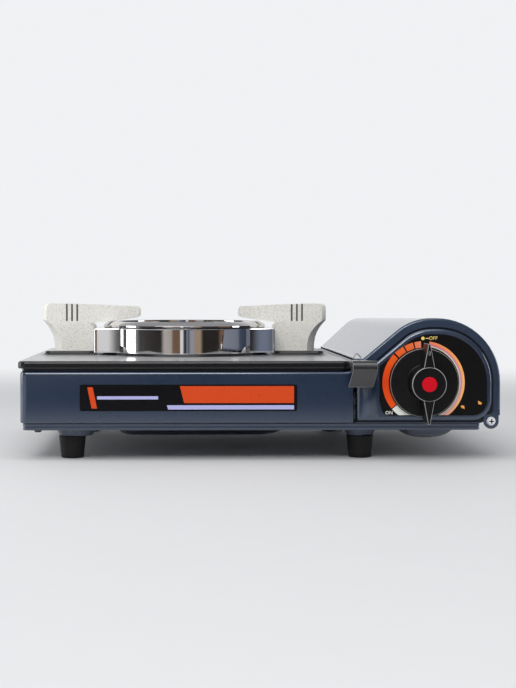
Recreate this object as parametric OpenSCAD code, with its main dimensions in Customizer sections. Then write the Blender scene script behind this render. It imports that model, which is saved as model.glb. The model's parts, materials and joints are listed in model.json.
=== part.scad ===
// Butane cassette stove: a burner under a chrome wind ring on the left, and on the right
// a bay for one gas cartridge under a hinged lid, with the control knob ahead of it.
// Millimetres, +Z up, the front faces -Y, and the origin is below the middle of the feet.

/* [Overall] */
// Width over the top plate and the lid
overall_w = 340; // [332:1:360]
// Width of the cartridge bay, from the top plate to the lid's outer side
bay_w = 105.4; // [103:0.2:110]

/* [Body] */
// Thickness of the pressed body sheet
sheet_t = 0.6; // [0.5:0.1:1]
// Height of the body's side walls
wall_h = 37; // [34:0.5:42]
// Radius of the body's upright corners
corner_r = 5; // [2:0.5:8]
// How far the walls stand back from the edge of the top plate
wall_inset = 1.5; // [1.2:0.1:2.5]
// Width of the flanges that are folded inward along the walls
flange_fold = 6; // [5:0.5:8]
// Height of the right wall, which ends low under the lid
bay_wall_h = 9; // [6:0.5:12]
// How far the bay's right wall stands in from the lid
bay_wall_inset = 12; // [11.5:0.1:13]

/* [Base plate] */
// Height of the base plate's upturned rim
rim_h = 4.9; // [4:0.1:6]
// How far the rim stands in from the walls
rim_inset = 2; // [1.5:0.1:3]
// Depth of the pan pressed down under the burner
belly_depth = 10.7; // [8:0.1:12]
// Width of that pan at its top
belly_w = 152; // [140:1:158]
// Depth of that pan, front to back
belly_d = 120; // [100:1:130]
// Depth of the round dish under the regulator
dish_depth = 7.8; // [7.6:0.1:9]
// Radius of that dish at its top
dish_r = 20; // [19:0.5:22]

/* [Feet] */
// Height of a rubber foot
foot_h = 16.2; // [14:0.2:20]
// Radius of a foot where it stands
foot_r = 8.2; // [7:0.1:9]
// Radius of a foot at its top
foot_top_r = 9.8; // [8.8:0.1:10]
// Depth of the pressed cup that each foot screws into
cup_depth = 5.3; // [4.8:0.1:6]
// Radius of that cup at its top
cup_r = 12.3; // [11.5:0.1:13]
// How far the left cups reach on towards the middle
cup_stretch = 5.2; // [0:0.1:8]
// Distance of the left feet from the left edge
foot_left = 36.7; // [30:0.1:48]
// Distance of the right feet past the top plate's edge
foot_right = 9.1; // [4:0.1:12]
// Distance of the feet from the front and rear walls
foot_in = 25; // [18:1:32]
// Radius of the foot screws
foot_screw_r = 2; // [1.5:0.1:2.2]

/* [Top plate] */
// Thickness of the enamelled top plate
plate_t = 0.6; // [0.5:0.1:1.2]
// Height of its rolled edge
lip_h = 5.3; // [4.5:0.1:7]
// Open gap between the rolled edge and the wall
plate_gap = 1.7; // [1.2:0.1:3]
// How far the plate stands ahead of the front wall
plate_over = 1.2; // [0.5:0.1:2]
// Radius of the plate's corners
plate_r = 6; // [3:0.5:9]
// Radius of the hole that the burner stands in
plate_hole_r = 46; // [44:0.5:50]
// Height of the raised seat of the wind ring
seat_h = 2.4; // [1.8:0.1:2.8]
// Height of the raised pads that carry the supports
pad_h = 3.2; // [2.2:0.1:4]

/* [Wind ring] */
// Radius of the ring's upright wall
ring_r = 62; // [60:0.5:63]
// Height of that wall
ring_h = 19.7; // [18:0.1:20.4]
// Thickness of its sheet
ring_t = 0.8; // [0.6:0.1:1]
// Radius of the open mouth
ring_mouth_r = 58; // [56:0.5:58.5]
// Rise of the sloping lip
ring_lip_h = 3.6; // [3:0.1:4]
// Reach of the ears from the burner's axis
ear_reach = 69; // [68:0.1:69.2]
// Half the width of the ears, front to back
ear_half = 37; // [34:0.5:38]
// Height of the air inlets
inlet_h = 5; // [3:0.5:7]
// Half the width of the air inlets
inlet_half = 8.5; // [6:0.5:9]

/* [Pan supports] */
// Distance from the burner's axis to a support's outer side
support_reach = 111.4; // [110:0.1:113.2]
// Distance from the axis to the tip of the left arms
tip_left = 35; // [30:0.5:44]
// Distance from the axis to the tip of the right arms
tip_right = 43; // [30:0.5:46]
// Height of a support above its pad
support_h = 36.5; // [34:0.5:38]
// Fall of the arms' top towards the tips
arm_fall = 2.2; // [0:0.1:3]
// Height of an arm at its tip
arm_tip_h = 8.6; // [6:0.1:9]
// Height of an arm where it leaves its column
arm_root_h = 13.6; // [12:0.1:14]
// Half the distance over the two arms
arm_half = 20; // [18:0.5:22]
// Thickness of an arm
arm_t = 6; // [5:0.1:7]
// Distance from the axis to a support's upright column
column_in = 70.2; // [70:0.1:72]
// How far the column draws in below its shoulder
waist = 9.2; // [6:0.1:10]

/* [Lid] */
// Height of the lid's crown above the ground
lid_top = 100.4; // [98:0.2:103]
// Radius of the lid's arch
lid_r = 45.2; // [43:0.1:47]
// Thickness of the lid's sheet
lid_t = 0.6; // [0.5:0.1:1]
// Slope of the lid's left flank
flank_a = 40; // [38:0.5:42]
// Width of the flat seam along the lid's left edge
seam_w = 5.7; // [4.5:0.1:6.5]
// How much lower the crown is at the rear
crown_drop = 3.8; // [2:0.1:5]
// Width of the flange round each end of the lid
flange_w = 6.3; // [5.5:0.1:7]
// How much narrower that flange is down the outer side
flange_thin = 1.2; // [0:0.1:1.5]
// Gap between that flange and the panel inside it
panel_gap = 0.9; // [0.6:0.1:1.2]
// Radius of the hinge ears
ear_r = 5.4; // [5:0.1:6]
// Distance of the hinge axis from the lid's outer side
hinge_in = 6.6; // [6.5:0.1:7]
// Height of the hinge axis above the body's lower edge
hinge_up = 1.4; // [1.2:0.1:2]
// Radius of the hinge screws' shank
hinge_screw_r = 1.9; // [1.5:0.05:2]

/* [Front panel] */
// How far the panel stands ahead of the wall
panel_proud = 1.5; // [1:0.1:2]
// Radius of the panel's lower right corner
panel_corner_r = 14; // [13:0.5:16]
// Width of the slot that the lock lever moves in
slot_w = 2.5; // [2.3:0.1:3]
// Width of the margin between the panel's edge and the dial plate
dial_margin = 4; // [3:0.1:5]
// Thickness of the dial plate
dial_t = 0.3; // [0.2:0.1:0.5]
// Width of the plain strip left of the dial plate
dial_in = 15.8; // [14:0.1:18]

/* [Knob] */
// Distance of the knob's axis from the lid's outer side
knob_in = 54.8; // [53:0.1:56]
// Height of the knob's axis above the ground
knob_z = 55.3; // [54:0.1:57]
// How far the knob's face stands ahead of the wall
knob_reach = 27; // [25:0.5:30]
// Radius of the knob's skirt
skirt_r = 24; // [21:0.5:25]
// Thickness of the skirt
skirt_h = 3.8; // [3:0.1:5]
// Radius of the hub
hub_r = 11.9; // [10.5:0.1:13]
// Distance from the axis to the tips of the wing
wing_reach = 27.8; // [25.5:0.1:28]
// Width of the wing at the hub
wing_w = 8.4; // [7:0.1:10]
// Radius of the coloured cap
cap_r = 5.2; // [4:0.1:6]
// Angle from shut to full flame
knob_turn = 135; // [120:1:140]
// Radius of the valve spindle
spindle_r = 3; // [2.5:0.1:3.5]
// Running clearance round spindles and pins
run_gap = 0.05; // [0.02:0.01:0.1]

/* [Burner] */
// Radius of the burner's head
burner_r = 36; // [32:0.5:38]
// Height of the burner's cap above the top plate
burner_up = 17; // [14:0.5:18]
// Radius of the mixing tube
tube_r = 8; // [7:0.1:8.5]
// Wall of the mixing tube
tube_t = 1.2; // [0.8:0.1:1.6]
// Height of the mixing tube's axis above the ground
tube_z = 46; // [45:0.5:47]

/* [Gas valve] */
// Half the width of the regulator's block
block_half = 15; // [14:0.5:16]
// Length of the regulator's block, front to back
block_len = 22; // [20:0.5:23]
// Radius of the diaphragm housing
diaphragm_r = 16; // [14:0.5:16.5]
// Lift of the igniter's cam over the whole turn
cam_lift = 4.5; // [3:0.1:5]
// Radius of the cam where it is lowest
cam_r = 8; // [7:0.1:9]

/* [Cartridge] */
// Radius of the gas cartridge that the bay is made for
cartridge_r = 33.5; // [33:0.1:34]
// Length of the cartridge
cartridge_l = 184; // [180:1:186]
// How far the sled carries it forward to lock
sled_travel = 5; // [4:0.5:5.5]
// Room behind the sled for its spring and the rear panel
rear_room = 17.8; // [14:0.1:30]

/* [Lock lever] */
// Distance of the lever's pivot behind the front wall
pivot_in = 20; // [19:0.5:21]
// Height of the lever's pivot above the ground
pivot_z = 44; // [43.5:0.1:45]
// Angle that the lever turns through
lever_turn = 45; // [40:1:46]
// Radius of the lever's pivot pin
lever_pin_r = 2; // [1.5:0.1:2.2]
// Thickness of the lever's blade
blade_t = 1.5; // [1.2:0.1:1.7]
// Width of the finger flap
flap_w = 17.4; // [13:0.1:18]
// How far the flap stands ahead of the wall
flap_reach = 15; // [12:0.5:17]
// Height of the flap
flap_h = 18.8; // [16:0.2:20]
// How far its lower end leans to the left
flap_lean = 2.7; // [0:0.1:4]

/* [Label] */
// Width of the bare label on the front wall
label_w = 152.8; // [120:0.2:160]
// Height of the label
label_h = 18.7; // [14:0.1:22]
// Thickness of the label
label_t = 0.3; // [0.2:0.1:0.5]

/* [Hidden] */
$fn = 48;
ARC = 8;
SEAT = 0.3;
SHEET_GAP = 0.4;

x_right = overall_w / 2;
x_left = -overall_w / 2;
HINGE_HEAD_H = 2.2;

// The row from the front wall back to the cartridge, and behind it the sled and its spring.
ear_t = 1.2;
frame_t = 1.2;
cam_t = 4;
CAM_GAP = 0.8;
BLOCK_GAP = 2.6;
COLLAR_T = 3;
NECK_L = 8.6;
CARTRIDGE_GAP = 2.9;
SLED_SLACK = 1.5;
block_in = ear_t + SHEET_GAP + frame_t + CAM_GAP + cam_t + BLOCK_GAP;
cartridge_in = block_in + block_len + COLLAR_T + NECK_L + CARTRIDGE_GAP;
body_d = cartridge_in + cartridge_l + SLED_SLACK + rear_room;
y_front = (knob_reach - body_d - HINGE_HEAD_H) / 2;
y_rear = y_front + body_d;

floor_z = foot_h + cup_depth;
wall_z = floor_z + rim_h;
wall_top = wall_z + wall_h;
lip_z = wall_top + plate_gap;
plate_z = lip_z + lip_h;
seat_z = plate_z + seat_h;
pad_z = plate_z + pad_h;

body_left = x_left + wall_inset;
body_right = x_right - bay_wall_inset;
body_back = y_rear - wall_inset;
plate_right = x_right - bay_w;

burner_x = (x_left + plate_right) / 2 + 0.3;
burner_y = y_front + body_d / 2;
ring_mid_z = seat_z + ring_h;

// The lid's section, seen from the front.
lid_left = plate_right + 2.9;
seam_z = plate_z + 1.6;
side_end = wall_z + 8.6;
rear_top = lid_top - crown_drop;
rear_flank_a = flank_a + 3;
rear_seam_w = 0.8;
SHOULDER_R = 38;
REAR_SHOULDER_R = 19;
hinge_x = x_right - hinge_in;
hinge_z = wall_z + hinge_up;

// The sheets behind the lid's flanges, from the front and from the rear.
frame_y = y_front + ear_t + SHEET_GAP;
rear_frame_y = y_rear - ear_t - SHEET_GAP - frame_t;

slot_left = plate_right + 1.3;
slot_right = slot_left + slot_w;
slot_bottom = wall_z - 2.5;
panel_bottom = wall_z + 1.6;
panel_y = y_front - panel_proud;
dial_y = panel_y - dial_t;

knob_x = x_right - knob_in;
cam_y = frame_y + frame_t + CAM_GAP;
block_y = y_front + block_in;
block_back = block_y + block_len;
diaphragm_y = y_front + 28;
diaphragm_x = knob_x + 6;
diaphragm_z = floor_z + 14.5;

cartridge_x = knob_x + 3.8;
cartridge_z = floor_z + 5 + cartridge_r;
collar_y = block_back + COLLAR_T;
nozzle_y = collar_y + NECK_L;
cartridge_y = y_front + cartridge_in;
sled_z = floor_z + sheet_t + 0.5;
sled_t = 1.2;
sled_half = 17;
sled_back = cartridge_y + cartridge_l + SLED_SLACK;

blade_x = slot_left + (slot_w - blade_t) / 2;
pivot_y = y_front + pivot_in;
stud_up = sled_travel / sin(lever_turn);
stud_r = 1.5;
arm_x = blade_x + blade_t + 4.3;
flap_top = plate_z + 0.7;
flap_x = slot_left - 2;

wall_x = plate_right + 0.4;
wall_t = 0.6;
wire_hole_y = burner_y + 6;
wire_hole_z = floor_z + 7;
electrode_x = burner_x + burner_r + 4.5;

// ---- Outlines -------------------------------------------------------------------------

function unit(v) = v / norm(v);
function left_of(v) = [-v[1], v[0]];
function turned(v, a) = [v[0] * cos(a) - v[1] * sin(a), v[0] * sin(a) + v[1] * cos(a)];
function flat(p) = [p[0], p[1]];
function radius_of(p) = len(p) > 2 ? p[2] : 0;

// One corner as an arc, on an outline that is moved to its left by inset.
function corner(before, at, after, inset) =
    let(
        d1 = unit(flat(at) - flat(before)),
        d2 = unit(flat(after) - flat(at)),
        n1 = left_of(d1),
        n2 = left_of(d2),
        side = cross(d1, d2) >= 0 ? 1 : -1,
        turn = acos(max(-1, min(1, d1 * d2))),
        tip = flat(at) + inset * (n1 + n2) / (1 + n1 * n2),
        r = max(0.05, radius_of(at) - side * inset),
        start = tip - d1 * r * tan(turn / 2),
        mid = start + side * r * n1
    )
    [for (k = [0 : ARC]) mid + turned(start - mid, side * turn * k / ARC)];

// A closed outline through corners [x, y, radius], anticlockwise, moved inward by inset.
function closed(pts, inset = 0) = [
    for (i = [0 : len(pts) - 1])
        each corner(pts[(i + len(pts) - 1) % len(pts)], pts[i], pts[(i + 1) % len(pts)], inset)
];

// An open outline through the same kind of corners.
function open_path(pts, inset = 0) =
    let(
        last = len(pts) - 1,
        first_n = left_of(unit(flat(pts[1]) - flat(pts[0]))),
        last_n = left_of(unit(flat(pts[last]) - flat(pts[last - 1])))
    )
    concat(
        [flat(pts[0]) + inset * first_n],
        [for (i = [1 : last - 1]) each corner(pts[i - 1], pts[i], pts[i + 1], inset)],
        [flat(pts[last]) + inset * last_n]
    );

function reversed(list) = [for (i = [len(list) - 1 : -1 : 0]) list[i]];

function rect(x0, y0, x1, y1, r, inset = 0) =
    closed([[x0, y0, r], [x1, y0, r], [x1, y1, r], [x0, y1, r]], inset);

// Corners of the lid's section, from its lower right end over the crown to the left seam.
function lid_corners(top, r, slope, seam, shoulder) =
    let(
        flank_x = lid_left + seam,
        crown_x = flank_x + (top - seam_z) / tan(slope),
        room = (x_right - r - crown_x) / tan(slope / 2)
    )
    [
        [x_right, side_end],
        [x_right, top, r],
        [crown_x, top, min(shoulder, 0.98 * room)],
        [flank_x, seam_z, 2],
        [lid_left, seam_z]
    ];

front_corners = lid_corners(lid_top, lid_r, flank_a, seam_w, SHOULDER_R);
rear_corners = lid_corners(rear_top, lid_r - 4, rear_flank_a, rear_seam_w, REAR_SHOULDER_R);

// A closed outline of the space under the lid: inset from its skin, less so by wide on the
// outer side, and cut off at left and below.
function bay_loop(pts, inset, left, bottom, left_r, right_r, extra = 0, wide = 0) =
    let(
        flank = pts[3],
        slope = atan((pts[2][1] - flank[1]) / (pts[2][0] - flank[0])),
        edge = flat(flank) + inset * [sin(slope), -cos(slope)],
        top = pts[1][1] - inset,
        side = x_right - inset + wide,
        crown = edge[0] + (top - edge[1]) / tan(slope),
        foot = edge[1] - (edge[0] - left) * tan(slope)
    )
    closed([
        [left, bottom, left_r],
        [side, bottom, right_r],
        [side, top, pts[1][2] - inset],
        [crown, top, max(1, pts[2][2] - inset)],
        [left, foot, 3]
    ], extra);

// ---- Solids from outlines ---------------------------------------------------------------

module along_y(y0, y1) {
    translate([0, y1, 0]) rotate([90, 0, 0]) linear_extrude(y1 - y0) children();
}

module along_x(x0, x1) {
    translate([x0, 0, 0]) rotate([90, 0, 90]) linear_extrude(x1 - x0) children();
}

module along_z(z0, z1) {
    translate([0, 0, z0]) linear_extrude(z1 - z0) children();
}

module rod_y(x, z, y0, y1, r) {
    translate([x, y1, z]) rotate([90, 0, 0]) cylinder(r = r, h = y1 - y0);
}

module rod_x(y, z, x0, x1, r) {
    translate([x0, y, z]) rotate([0, 90, 0]) cylinder(r = r, h = x1 - x0);
}

module rod_z(x, y, z0, z1, r) {
    translate([x, y, z0]) cylinder(r = r, h = z1 - z0);
}

module box(x0, x1, y0, y1, z0, z1) {
    translate([x0, y0, z0]) cube([x1 - x0, y1 - y0, z1 - z0]);
}

// A screw whose head stands at the origin and whose shank runs along -Z.
module screw(r, length, head_r, head_h) {
    translate([0, 0, -length]) cylinder(r = r, h = length + head_h / 2);
    difference() {
        cylinder(r1 = head_r, r2 = head_r * 0.7, h = head_h);
        translate([0, 0, head_h]) cube([head_r * 1.1, head_r * 0.25, head_h], center = true);
        translate([0, 0, head_h]) cube([head_r * 0.25, head_r * 1.1, head_h], center = true);
    }
}

// A convex outline carried through several heights; each level is one closed loop.
module loft_z(loops, zs) {
    n = len(loops[0]);
    top = len(loops) - 1;
    polyhedron(
        points = [for (k = [0 : top]) for (p = loops[k]) [p[0], p[1], zs[k]]],
        faces = concat(
            [[for (j = [0 : n - 1]) j]],
            [[for (j = [n - 1 : -1 : 0]) top * n + j]],
            [for (k = [0 : top - 1]) for (j = [0 : n - 1])
                [k * n + j, (k + 1) * n + (j + 1) % n, k * n + (j + 1) % n]],
            [for (k = [0 : top - 1]) for (j = [0 : n - 1])
                [k * n + j, (k + 1) * n + j, (k + 1) * n + (j + 1) % n]]
        )
    );
}

// The same from front to rear, for outlines drawn in X and Z.
module loft_y(loops, ys) {
    n = len(loops[0]);
    top = len(loops) - 1;
    polyhedron(
        points = [for (k = [0 : top]) for (p = loops[k]) [p[0], ys[k], p[1]]],
        faces = concat(
            [[for (j = [n - 1 : -1 : 0]) j]],
            [[for (j = [0 : n - 1]) top * n + j]],
            [for (k = [0 : top - 1]) for (j = [0 : n - 1])
                [k * n + j, k * n + (j + 1) % n, (k + 1) * n + (j + 1) % n]],
            [for (k = [0 : top - 1]) for (j = [0 : n - 1])
                [k * n + j, (k + 1) * n + (j + 1) % n, (k + 1) * n + j]]
        )
    );
}

// A sheet between an outer and an inner open outline, drawn in X and Z, front to rear.
module skin_y(outer0, inner0, outer1, inner1, y0, y1) {
    n = len(outer0);
    m = 2 * n;
    front = concat(outer0, reversed(inner0));
    rear = concat(outer1, reversed(inner1));
    polyhedron(
        points = concat([for (p = front) [p[0], y0, p[1]]], [for (p = rear) [p[0], y1, p[1]]]),
        faces = concat(
            [for (j = [0 : m - 1]) [j, (j + 1) % m, m + (j + 1) % m]],
            [for (j = [0 : m - 1]) [j, m + (j + 1) % m, m + j]],
            [for (i = [0 : n - 2]) [m - 1 - i, m - 2 - i, i + 1]],
            [for (i = [0 : n - 2]) [m - 1 - i, i + 1, i]],
            [for (i = [0 : n - 2]) [m + i, m + i + 1, m + m - 2 - i]],
            [for (i = [0 : n - 2]) [m + i, m + m - 2 - i, m + m - 1 - i]]
        )
    );
}

// A round wire or tube swept along a route of points, with flat ends.
module sweep(route, r, sides = 8) {
    last = len(route) - 1;
    function way(i) = unit(route[min(i + 1, last)] - route[max(i - 1, 0)]);
    function across(i) =
        let(w = way(i))
        unit(cross(w, abs(w[2]) < 0.9 ? [0, 0, 1] : [1, 0, 0]));
    polyhedron(
        points = [
            for (i = [0 : last])
                let(u = across(i), v = cross(way(i), u))
                for (s = [0 : sides - 1])
                    route[i] + r * (cos(360 * s / sides) * u + sin(360 * s / sides) * v)
        ],
        faces = concat(
            [[for (s = [0 : sides - 1]) s]],
            [[for (s = [sides - 1 : -1 : 0]) last * sides + s]],
            [for (i = [0 : last - 1]) for (s = [0 : sides - 1])
                [i * sides + s, (i + 1) * sides + (s + 1) % sides, i * sides + (s + 1) % sides]],
            [for (i = [0 : last - 1]) for (s = [0 : sides - 1])
                [i * sides + s, (i + 1) * sides + s, (i + 1) * sides + (s + 1) % sides]]
        )
    );
}

// ---- Body -------------------------------------------------------------------------------

function body_loop(inset = 0) =
    rect(body_left, y_front, body_right, body_back, corner_r, inset);

module body_shell() {
    color("#24354e") difference() {
        union() {
            difference() {
                along_z(wall_z, wall_top) polygon(body_loop());
                along_z(wall_z - 1, wall_top + 1) polygon(body_loop(sheet_t));
            }
            for (z = [wall_z, wall_top - sheet_t]) {
                difference() {
                    along_z(z, z + sheet_t) polygon(body_loop(sheet_t / 2));
                    along_z(z - 1, z + sheet_t + 1) polygon(body_loop(flange_fold));
                }
            }
        }
        box(slot_left, x_right, y_front - 1, frame_y + frame_t + 0.4, wall_z + sheet_t, wall_top + 1);
        box(wall_x - 0.3, x_right, rear_frame_y - 0.4, y_rear, wall_z + sheet_t, wall_top + 1);
        box(wall_x - 0.3, x_right, y_front - 1, y_rear, wall_z + bay_wall_h, wall_top + 1);
        box(slot_left, slot_right, y_front - 1, y_front + flange_fold + 1, wall_z - 1, wall_top);
    }
}

function base_loop(inset = 0) =
    rect(
        body_left + rim_inset, y_front + rim_inset, body_right - rim_inset,
        body_back - rim_inset, corner_r - 1, inset
    );

foot_xs = [x_left + foot_left, plate_right + foot_right];
foot_ys = [y_front + foot_in, body_back - foot_in];

// The pan's outline between its top (down = 0) and its bottom (down = 1), steeper at the left.
belly_x = burner_x + 16.4;
belly_slope = 14;
function belly_loop(down, inset = 0) =
    let(s = down * belly_slope)
    rect(
        belly_x - belly_w / 2 + s, burner_y - belly_d / 2 + s, belly_x + belly_w / 2 - 2 * s,
        burner_y + belly_d / 2 - s, 20 - 10 * down, inset
    );
belly_downs = [1, 0.8, 0];

function dish_arc(inset) = [
    for (a = [0 : 9 : 90]) [(dish_r - inset) * cos(a), -(dish_depth - inset) * sin(a)]
];

module foot_cup(x, y, grow, z0) {
    hull()
        for (dx = [0, x < 0 ? cup_stretch : 0])
            translate([x + dx, y, z0])
                cylinder(r1 = cup_r - 3 - grow, r2 = cup_r - grow, h = cup_depth);
}

base_screw_spots = [
    [body_left + 12, y_front + 9], [body_left + 12, body_back - 9],
    [body_right - 12, body_back - 9], [slot_left - 9, y_front + 9]
];
BASE_SCREW_R = 1.5;

module base_plate() {
    color("#2a3a52") difference() {
        union() {
            along_z(floor_z, floor_z + sheet_t) polygon(base_loop());
            difference() {
                along_z(floor_z, wall_z) polygon(base_loop());
                along_z(floor_z - 1, wall_z + 1) polygon(base_loop(sheet_t));
            }
            difference() {
                along_z(wall_z - sheet_t, wall_z) polygon(base_loop());
                along_z(wall_z - 2, wall_z + 1) polygon(base_loop(flange_fold - rim_inset));
            }
            loft_z(
                [for (d = belly_downs) belly_loop(d)],
                [floor_z - belly_depth, floor_z - belly_depth + 1.2, floor_z + sheet_t / 2]
            );
            translate([diaphragm_x, diaphragm_y, floor_z]) rotate_extrude()
                polygon(concat([[0, sheet_t / 2], [dish_r, sheet_t / 2]], dish_arc(0)));
            for (x = foot_xs, y = foot_ys) foot_cup(x, y, 0, floor_z - cup_depth);
            for (p = base_screw_spots) rod_z(p[0], p[1], floor_z, wall_z, 4);
        }
        loft_z(
            [for (d = concat(belly_downs, 0)) belly_loop(d, sheet_t)],
            [floor_z - belly_depth + sheet_t, floor_z - belly_depth + 1.2 + sheet_t,
             floor_z + sheet_t / 2, floor_z + sheet_t + 1]
        );
        translate([diaphragm_x, diaphragm_y, floor_z]) rotate_extrude()
            polygon(concat([[0, sheet_t + 1], [dish_r - sheet_t, sheet_t + 1]], dish_arc(sheet_t)));
        for (x = foot_xs, y = foot_ys) {
            translate([0, 0, sheet_t + 0.01]) foot_cup(x, y, sheet_t, floor_z - cup_depth);
            rod_z(x, y, floor_z - 1 - cup_depth, floor_z, foot_screw_r + 0.15);
            translate([0, 0, cup_depth - 0.01]) hull()
                for (dx = [0, x < 0 ? cup_stretch : 0])
                    rod_z(x + dx, y, floor_z - cup_depth, floor_z - cup_depth + 2, cup_r - sheet_t);
        }
        for (p = base_screw_spots) rod_z(p[0], p[1], floor_z - 1, wall_z + 1, BASE_SCREW_R + 0.1);
        box(slot_left, slot_right, y_front, y_front + flange_fold + 1, slot_bottom, wall_z + 1);
    }
}

module base_screws() {
    color("#b9bcc0") for (p = base_screw_spots)
        translate([p[0], p[1], floor_z]) rotate([180, 0, 0]) screw(BASE_SCREW_R, rim_h - 0.2, 3, 1.8);
}

// ---- Feet -------------------------------------------------------------------------------

FOOT_RECESS = 6;

module foot(i, j) {
    x = foot_xs[i];
    y = foot_ys[j];
    color("#1b1b1d") difference() {
        translate([x, y, 0]) cylinder(r1 = foot_r, r2 = foot_top_r, h = foot_h);
        rod_z(x, y, -1, FOOT_RECESS, 4.6);
        rod_z(x, y, 0, foot_h + 1, foot_screw_r + 0.1);
    }
}

module foot_front_left() { foot(0, 0); }
module foot_front_right() { foot(1, 0); }
module foot_rear_left() { foot(0, 1); }
module foot_rear_right() { foot(1, 1); }

module foot_screws() {
    nut_z = foot_h + sheet_t + 0.01;
    color("#b9bcc0") for (x = foot_xs, y = foot_ys) {
        translate([x, y, FOOT_RECESS]) rotate([180, 0, 0])
            screw(foot_screw_r, foot_h - FOOT_RECESS + cup_depth - 0.6, 4, 2.2);
        difference() {
            translate([x, y, nut_z]) cylinder(r = 4, h = 3, $fn = 6);
            rod_z(x, y, nut_z - 1, nut_z + 4, foot_screw_r + 0.05);
        }
    }
}

// ---- Frames and panels of the cartridge bay ---------------------------------------------

FRAME_CLEAR = 1.4;

module front_frame() {
    hole = cam_r + cam_lift + 1.5;
    color("#8d9196") difference() {
        union() {
            along_y(frame_y, frame_y + frame_t)
                polygon(bay_loop(
                    front_corners, lid_t + FRAME_CLEAR, slot_right + 0.8, wall_z + sheet_t, 1, 6
                ));
            rod_y(hinge_x, hinge_z, frame_y, frame_y + frame_t, ear_r - 0.4);
        }
        rod_y(knob_x, knob_z, frame_y - 1, frame_y + frame_t + 1, hole);
        rod_y(hinge_x, hinge_z, frame_y - 1, frame_y + frame_t + 1, hinge_screw_r + run_gap);
        for (dx = [-1, 1])
            rod_y(knob_x + dx * hole * 1.35, knob_z, frame_y - 1, frame_y + frame_t + 1, 1.6);
    }
}

function panel_loop(extra = 0) =
    bay_loop(
        front_corners, flange_w + panel_gap, slot_right, panel_bottom, 1.5, panel_corner_r, extra,
        flange_thin
    );

EDGE = 2.2;

module front_panel() {
    color("#24354e") difference() {
        loft_y(
            [panel_loop(EDGE), panel_loop(EDGE * 0.5), panel_loop(EDGE * 0.13), panel_loop(0),
             panel_loop(0)],
            [panel_y, panel_y + EDGE * 0.13, panel_y + EDGE * 0.5, panel_y + EDGE, frame_y]
        );
        along_y(panel_y + 1, frame_y + 1) polygon(panel_loop(EDGE + 0.4));
        rod_y(knob_x, knob_z, panel_y - 1, frame_y + 1, spindle_r + 1.5);
    }
}

module dial_plate() {
    color("#17181a") difference() {
        along_y(dial_y, panel_y) polygon(bay_loop(
            front_corners, flange_w + panel_gap + dial_margin, slot_right + dial_in,
            panel_bottom + dial_margin, 7, panel_corner_r - dial_margin, 0, flange_thin
        ));
        rod_y(knob_x, knob_z, dial_y - 1, panel_y + 1, spindle_r + 1.5);
    }
}

module rear_panel() {
    vent_w = 26;
    y0 = rear_frame_y;
    color("#24354e") difference() {
        union() {
            along_y(y0, y0 + frame_t)
                polygon(bay_loop(
                    rear_corners, lid_t + FRAME_CLEAR, wall_x + 4, wall_z + sheet_t, 1, 6
                ));
            rod_y(hinge_x, hinge_z, y0, y0 + frame_t, ear_r - 0.4);
        }
        rod_y(hinge_x, hinge_z, y0 - 1, y0 + frame_t + 1, hinge_screw_r + run_gap);
        for (i = [-2 : 2])
            box(
                cartridge_x - vent_w / 2, cartridge_x + vent_w / 2, y0 - 1, y0 + frame_t + 1,
                cartridge_z + i * 7 - 1.5, cartridge_z + i * 7 + 1.5
            );
    }
}

tube_from = [knob_x - block_half - 6, block_y + block_len / 2];
tube_to = [burner_x, burner_y];
tube_way = unit(tube_to - tube_from);
tube_a = atan2(tube_way[1], tube_way[0]);

// The sheet between the burner and the cartridge, with a ledge under the lid's seam.
module partition() {
    top = seam_z - lid_t - 1.2;
    y0 = y_front + sheet_t + 0.6;
    y1 = body_back - sheet_t - 0.6;
    steps = wall_x + wall_t / 2;
    at = tube_from + tube_way * (tube_from[0] - steps) / abs(tube_way[0]);
    color("#9a9da1") difference() {
        union() {
            box(wall_x, wall_x + wall_t, y0, y1, floor_z + sheet_t, top);
            box(wall_x, lid_left + 3, y_front + 5, rear_frame_y - 0.6, top - sheet_t, top);
        }
        box(
            wall_x - 1, wall_x + wall_t + 1, at[1] - 1.6 * tube_r, at[1] + 1.6 * tube_r,
            tube_z - tube_r - 1.5, tube_z + tube_r + 1.5
        );
        rod_x(pivot_y, pivot_z, wall_x - 1, wall_x + wall_t + 1, lever_pin_r);
        rod_x(wire_hole_y, wire_hole_z, wall_x - 1, wall_x + wall_t + 1, 2);
        for (ys = [[y0 - 1, y_front + flange_fold + 0.4], [body_back - flange_fold - 0.4, y1 + 1]])
            box(wall_x - 1, wall_x + wall_t + 1, ys[0], ys[1], 0, wall_z + sheet_t + 0.3);
    }
}

// ---- Top plate, wind ring and supports --------------------------------------------------

function plate_loop(inset = 0) =
    rect(x_left, y_front - plate_over, plate_right, y_rear, plate_r, inset);

pad_half = arm_half + 4;
pad_out = support_reach - waist + 6.6;
PAD_INS = [0, 0, 0.6, 2.6];

// A raised pad, drawn on the +X side; only its side towards the ring is nearly upright.
module pad() {
    loft_z(
        [
            for (i = PAD_INS)
                rect(ear_reach + SEAT + 0.3 * i, i - pad_half, pad_out - i, pad_half - i, 5)
        ],
        [plate_z - plate_t, plate_z, plate_z + pad_h * 0.55, pad_z]
    );
}

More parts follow.
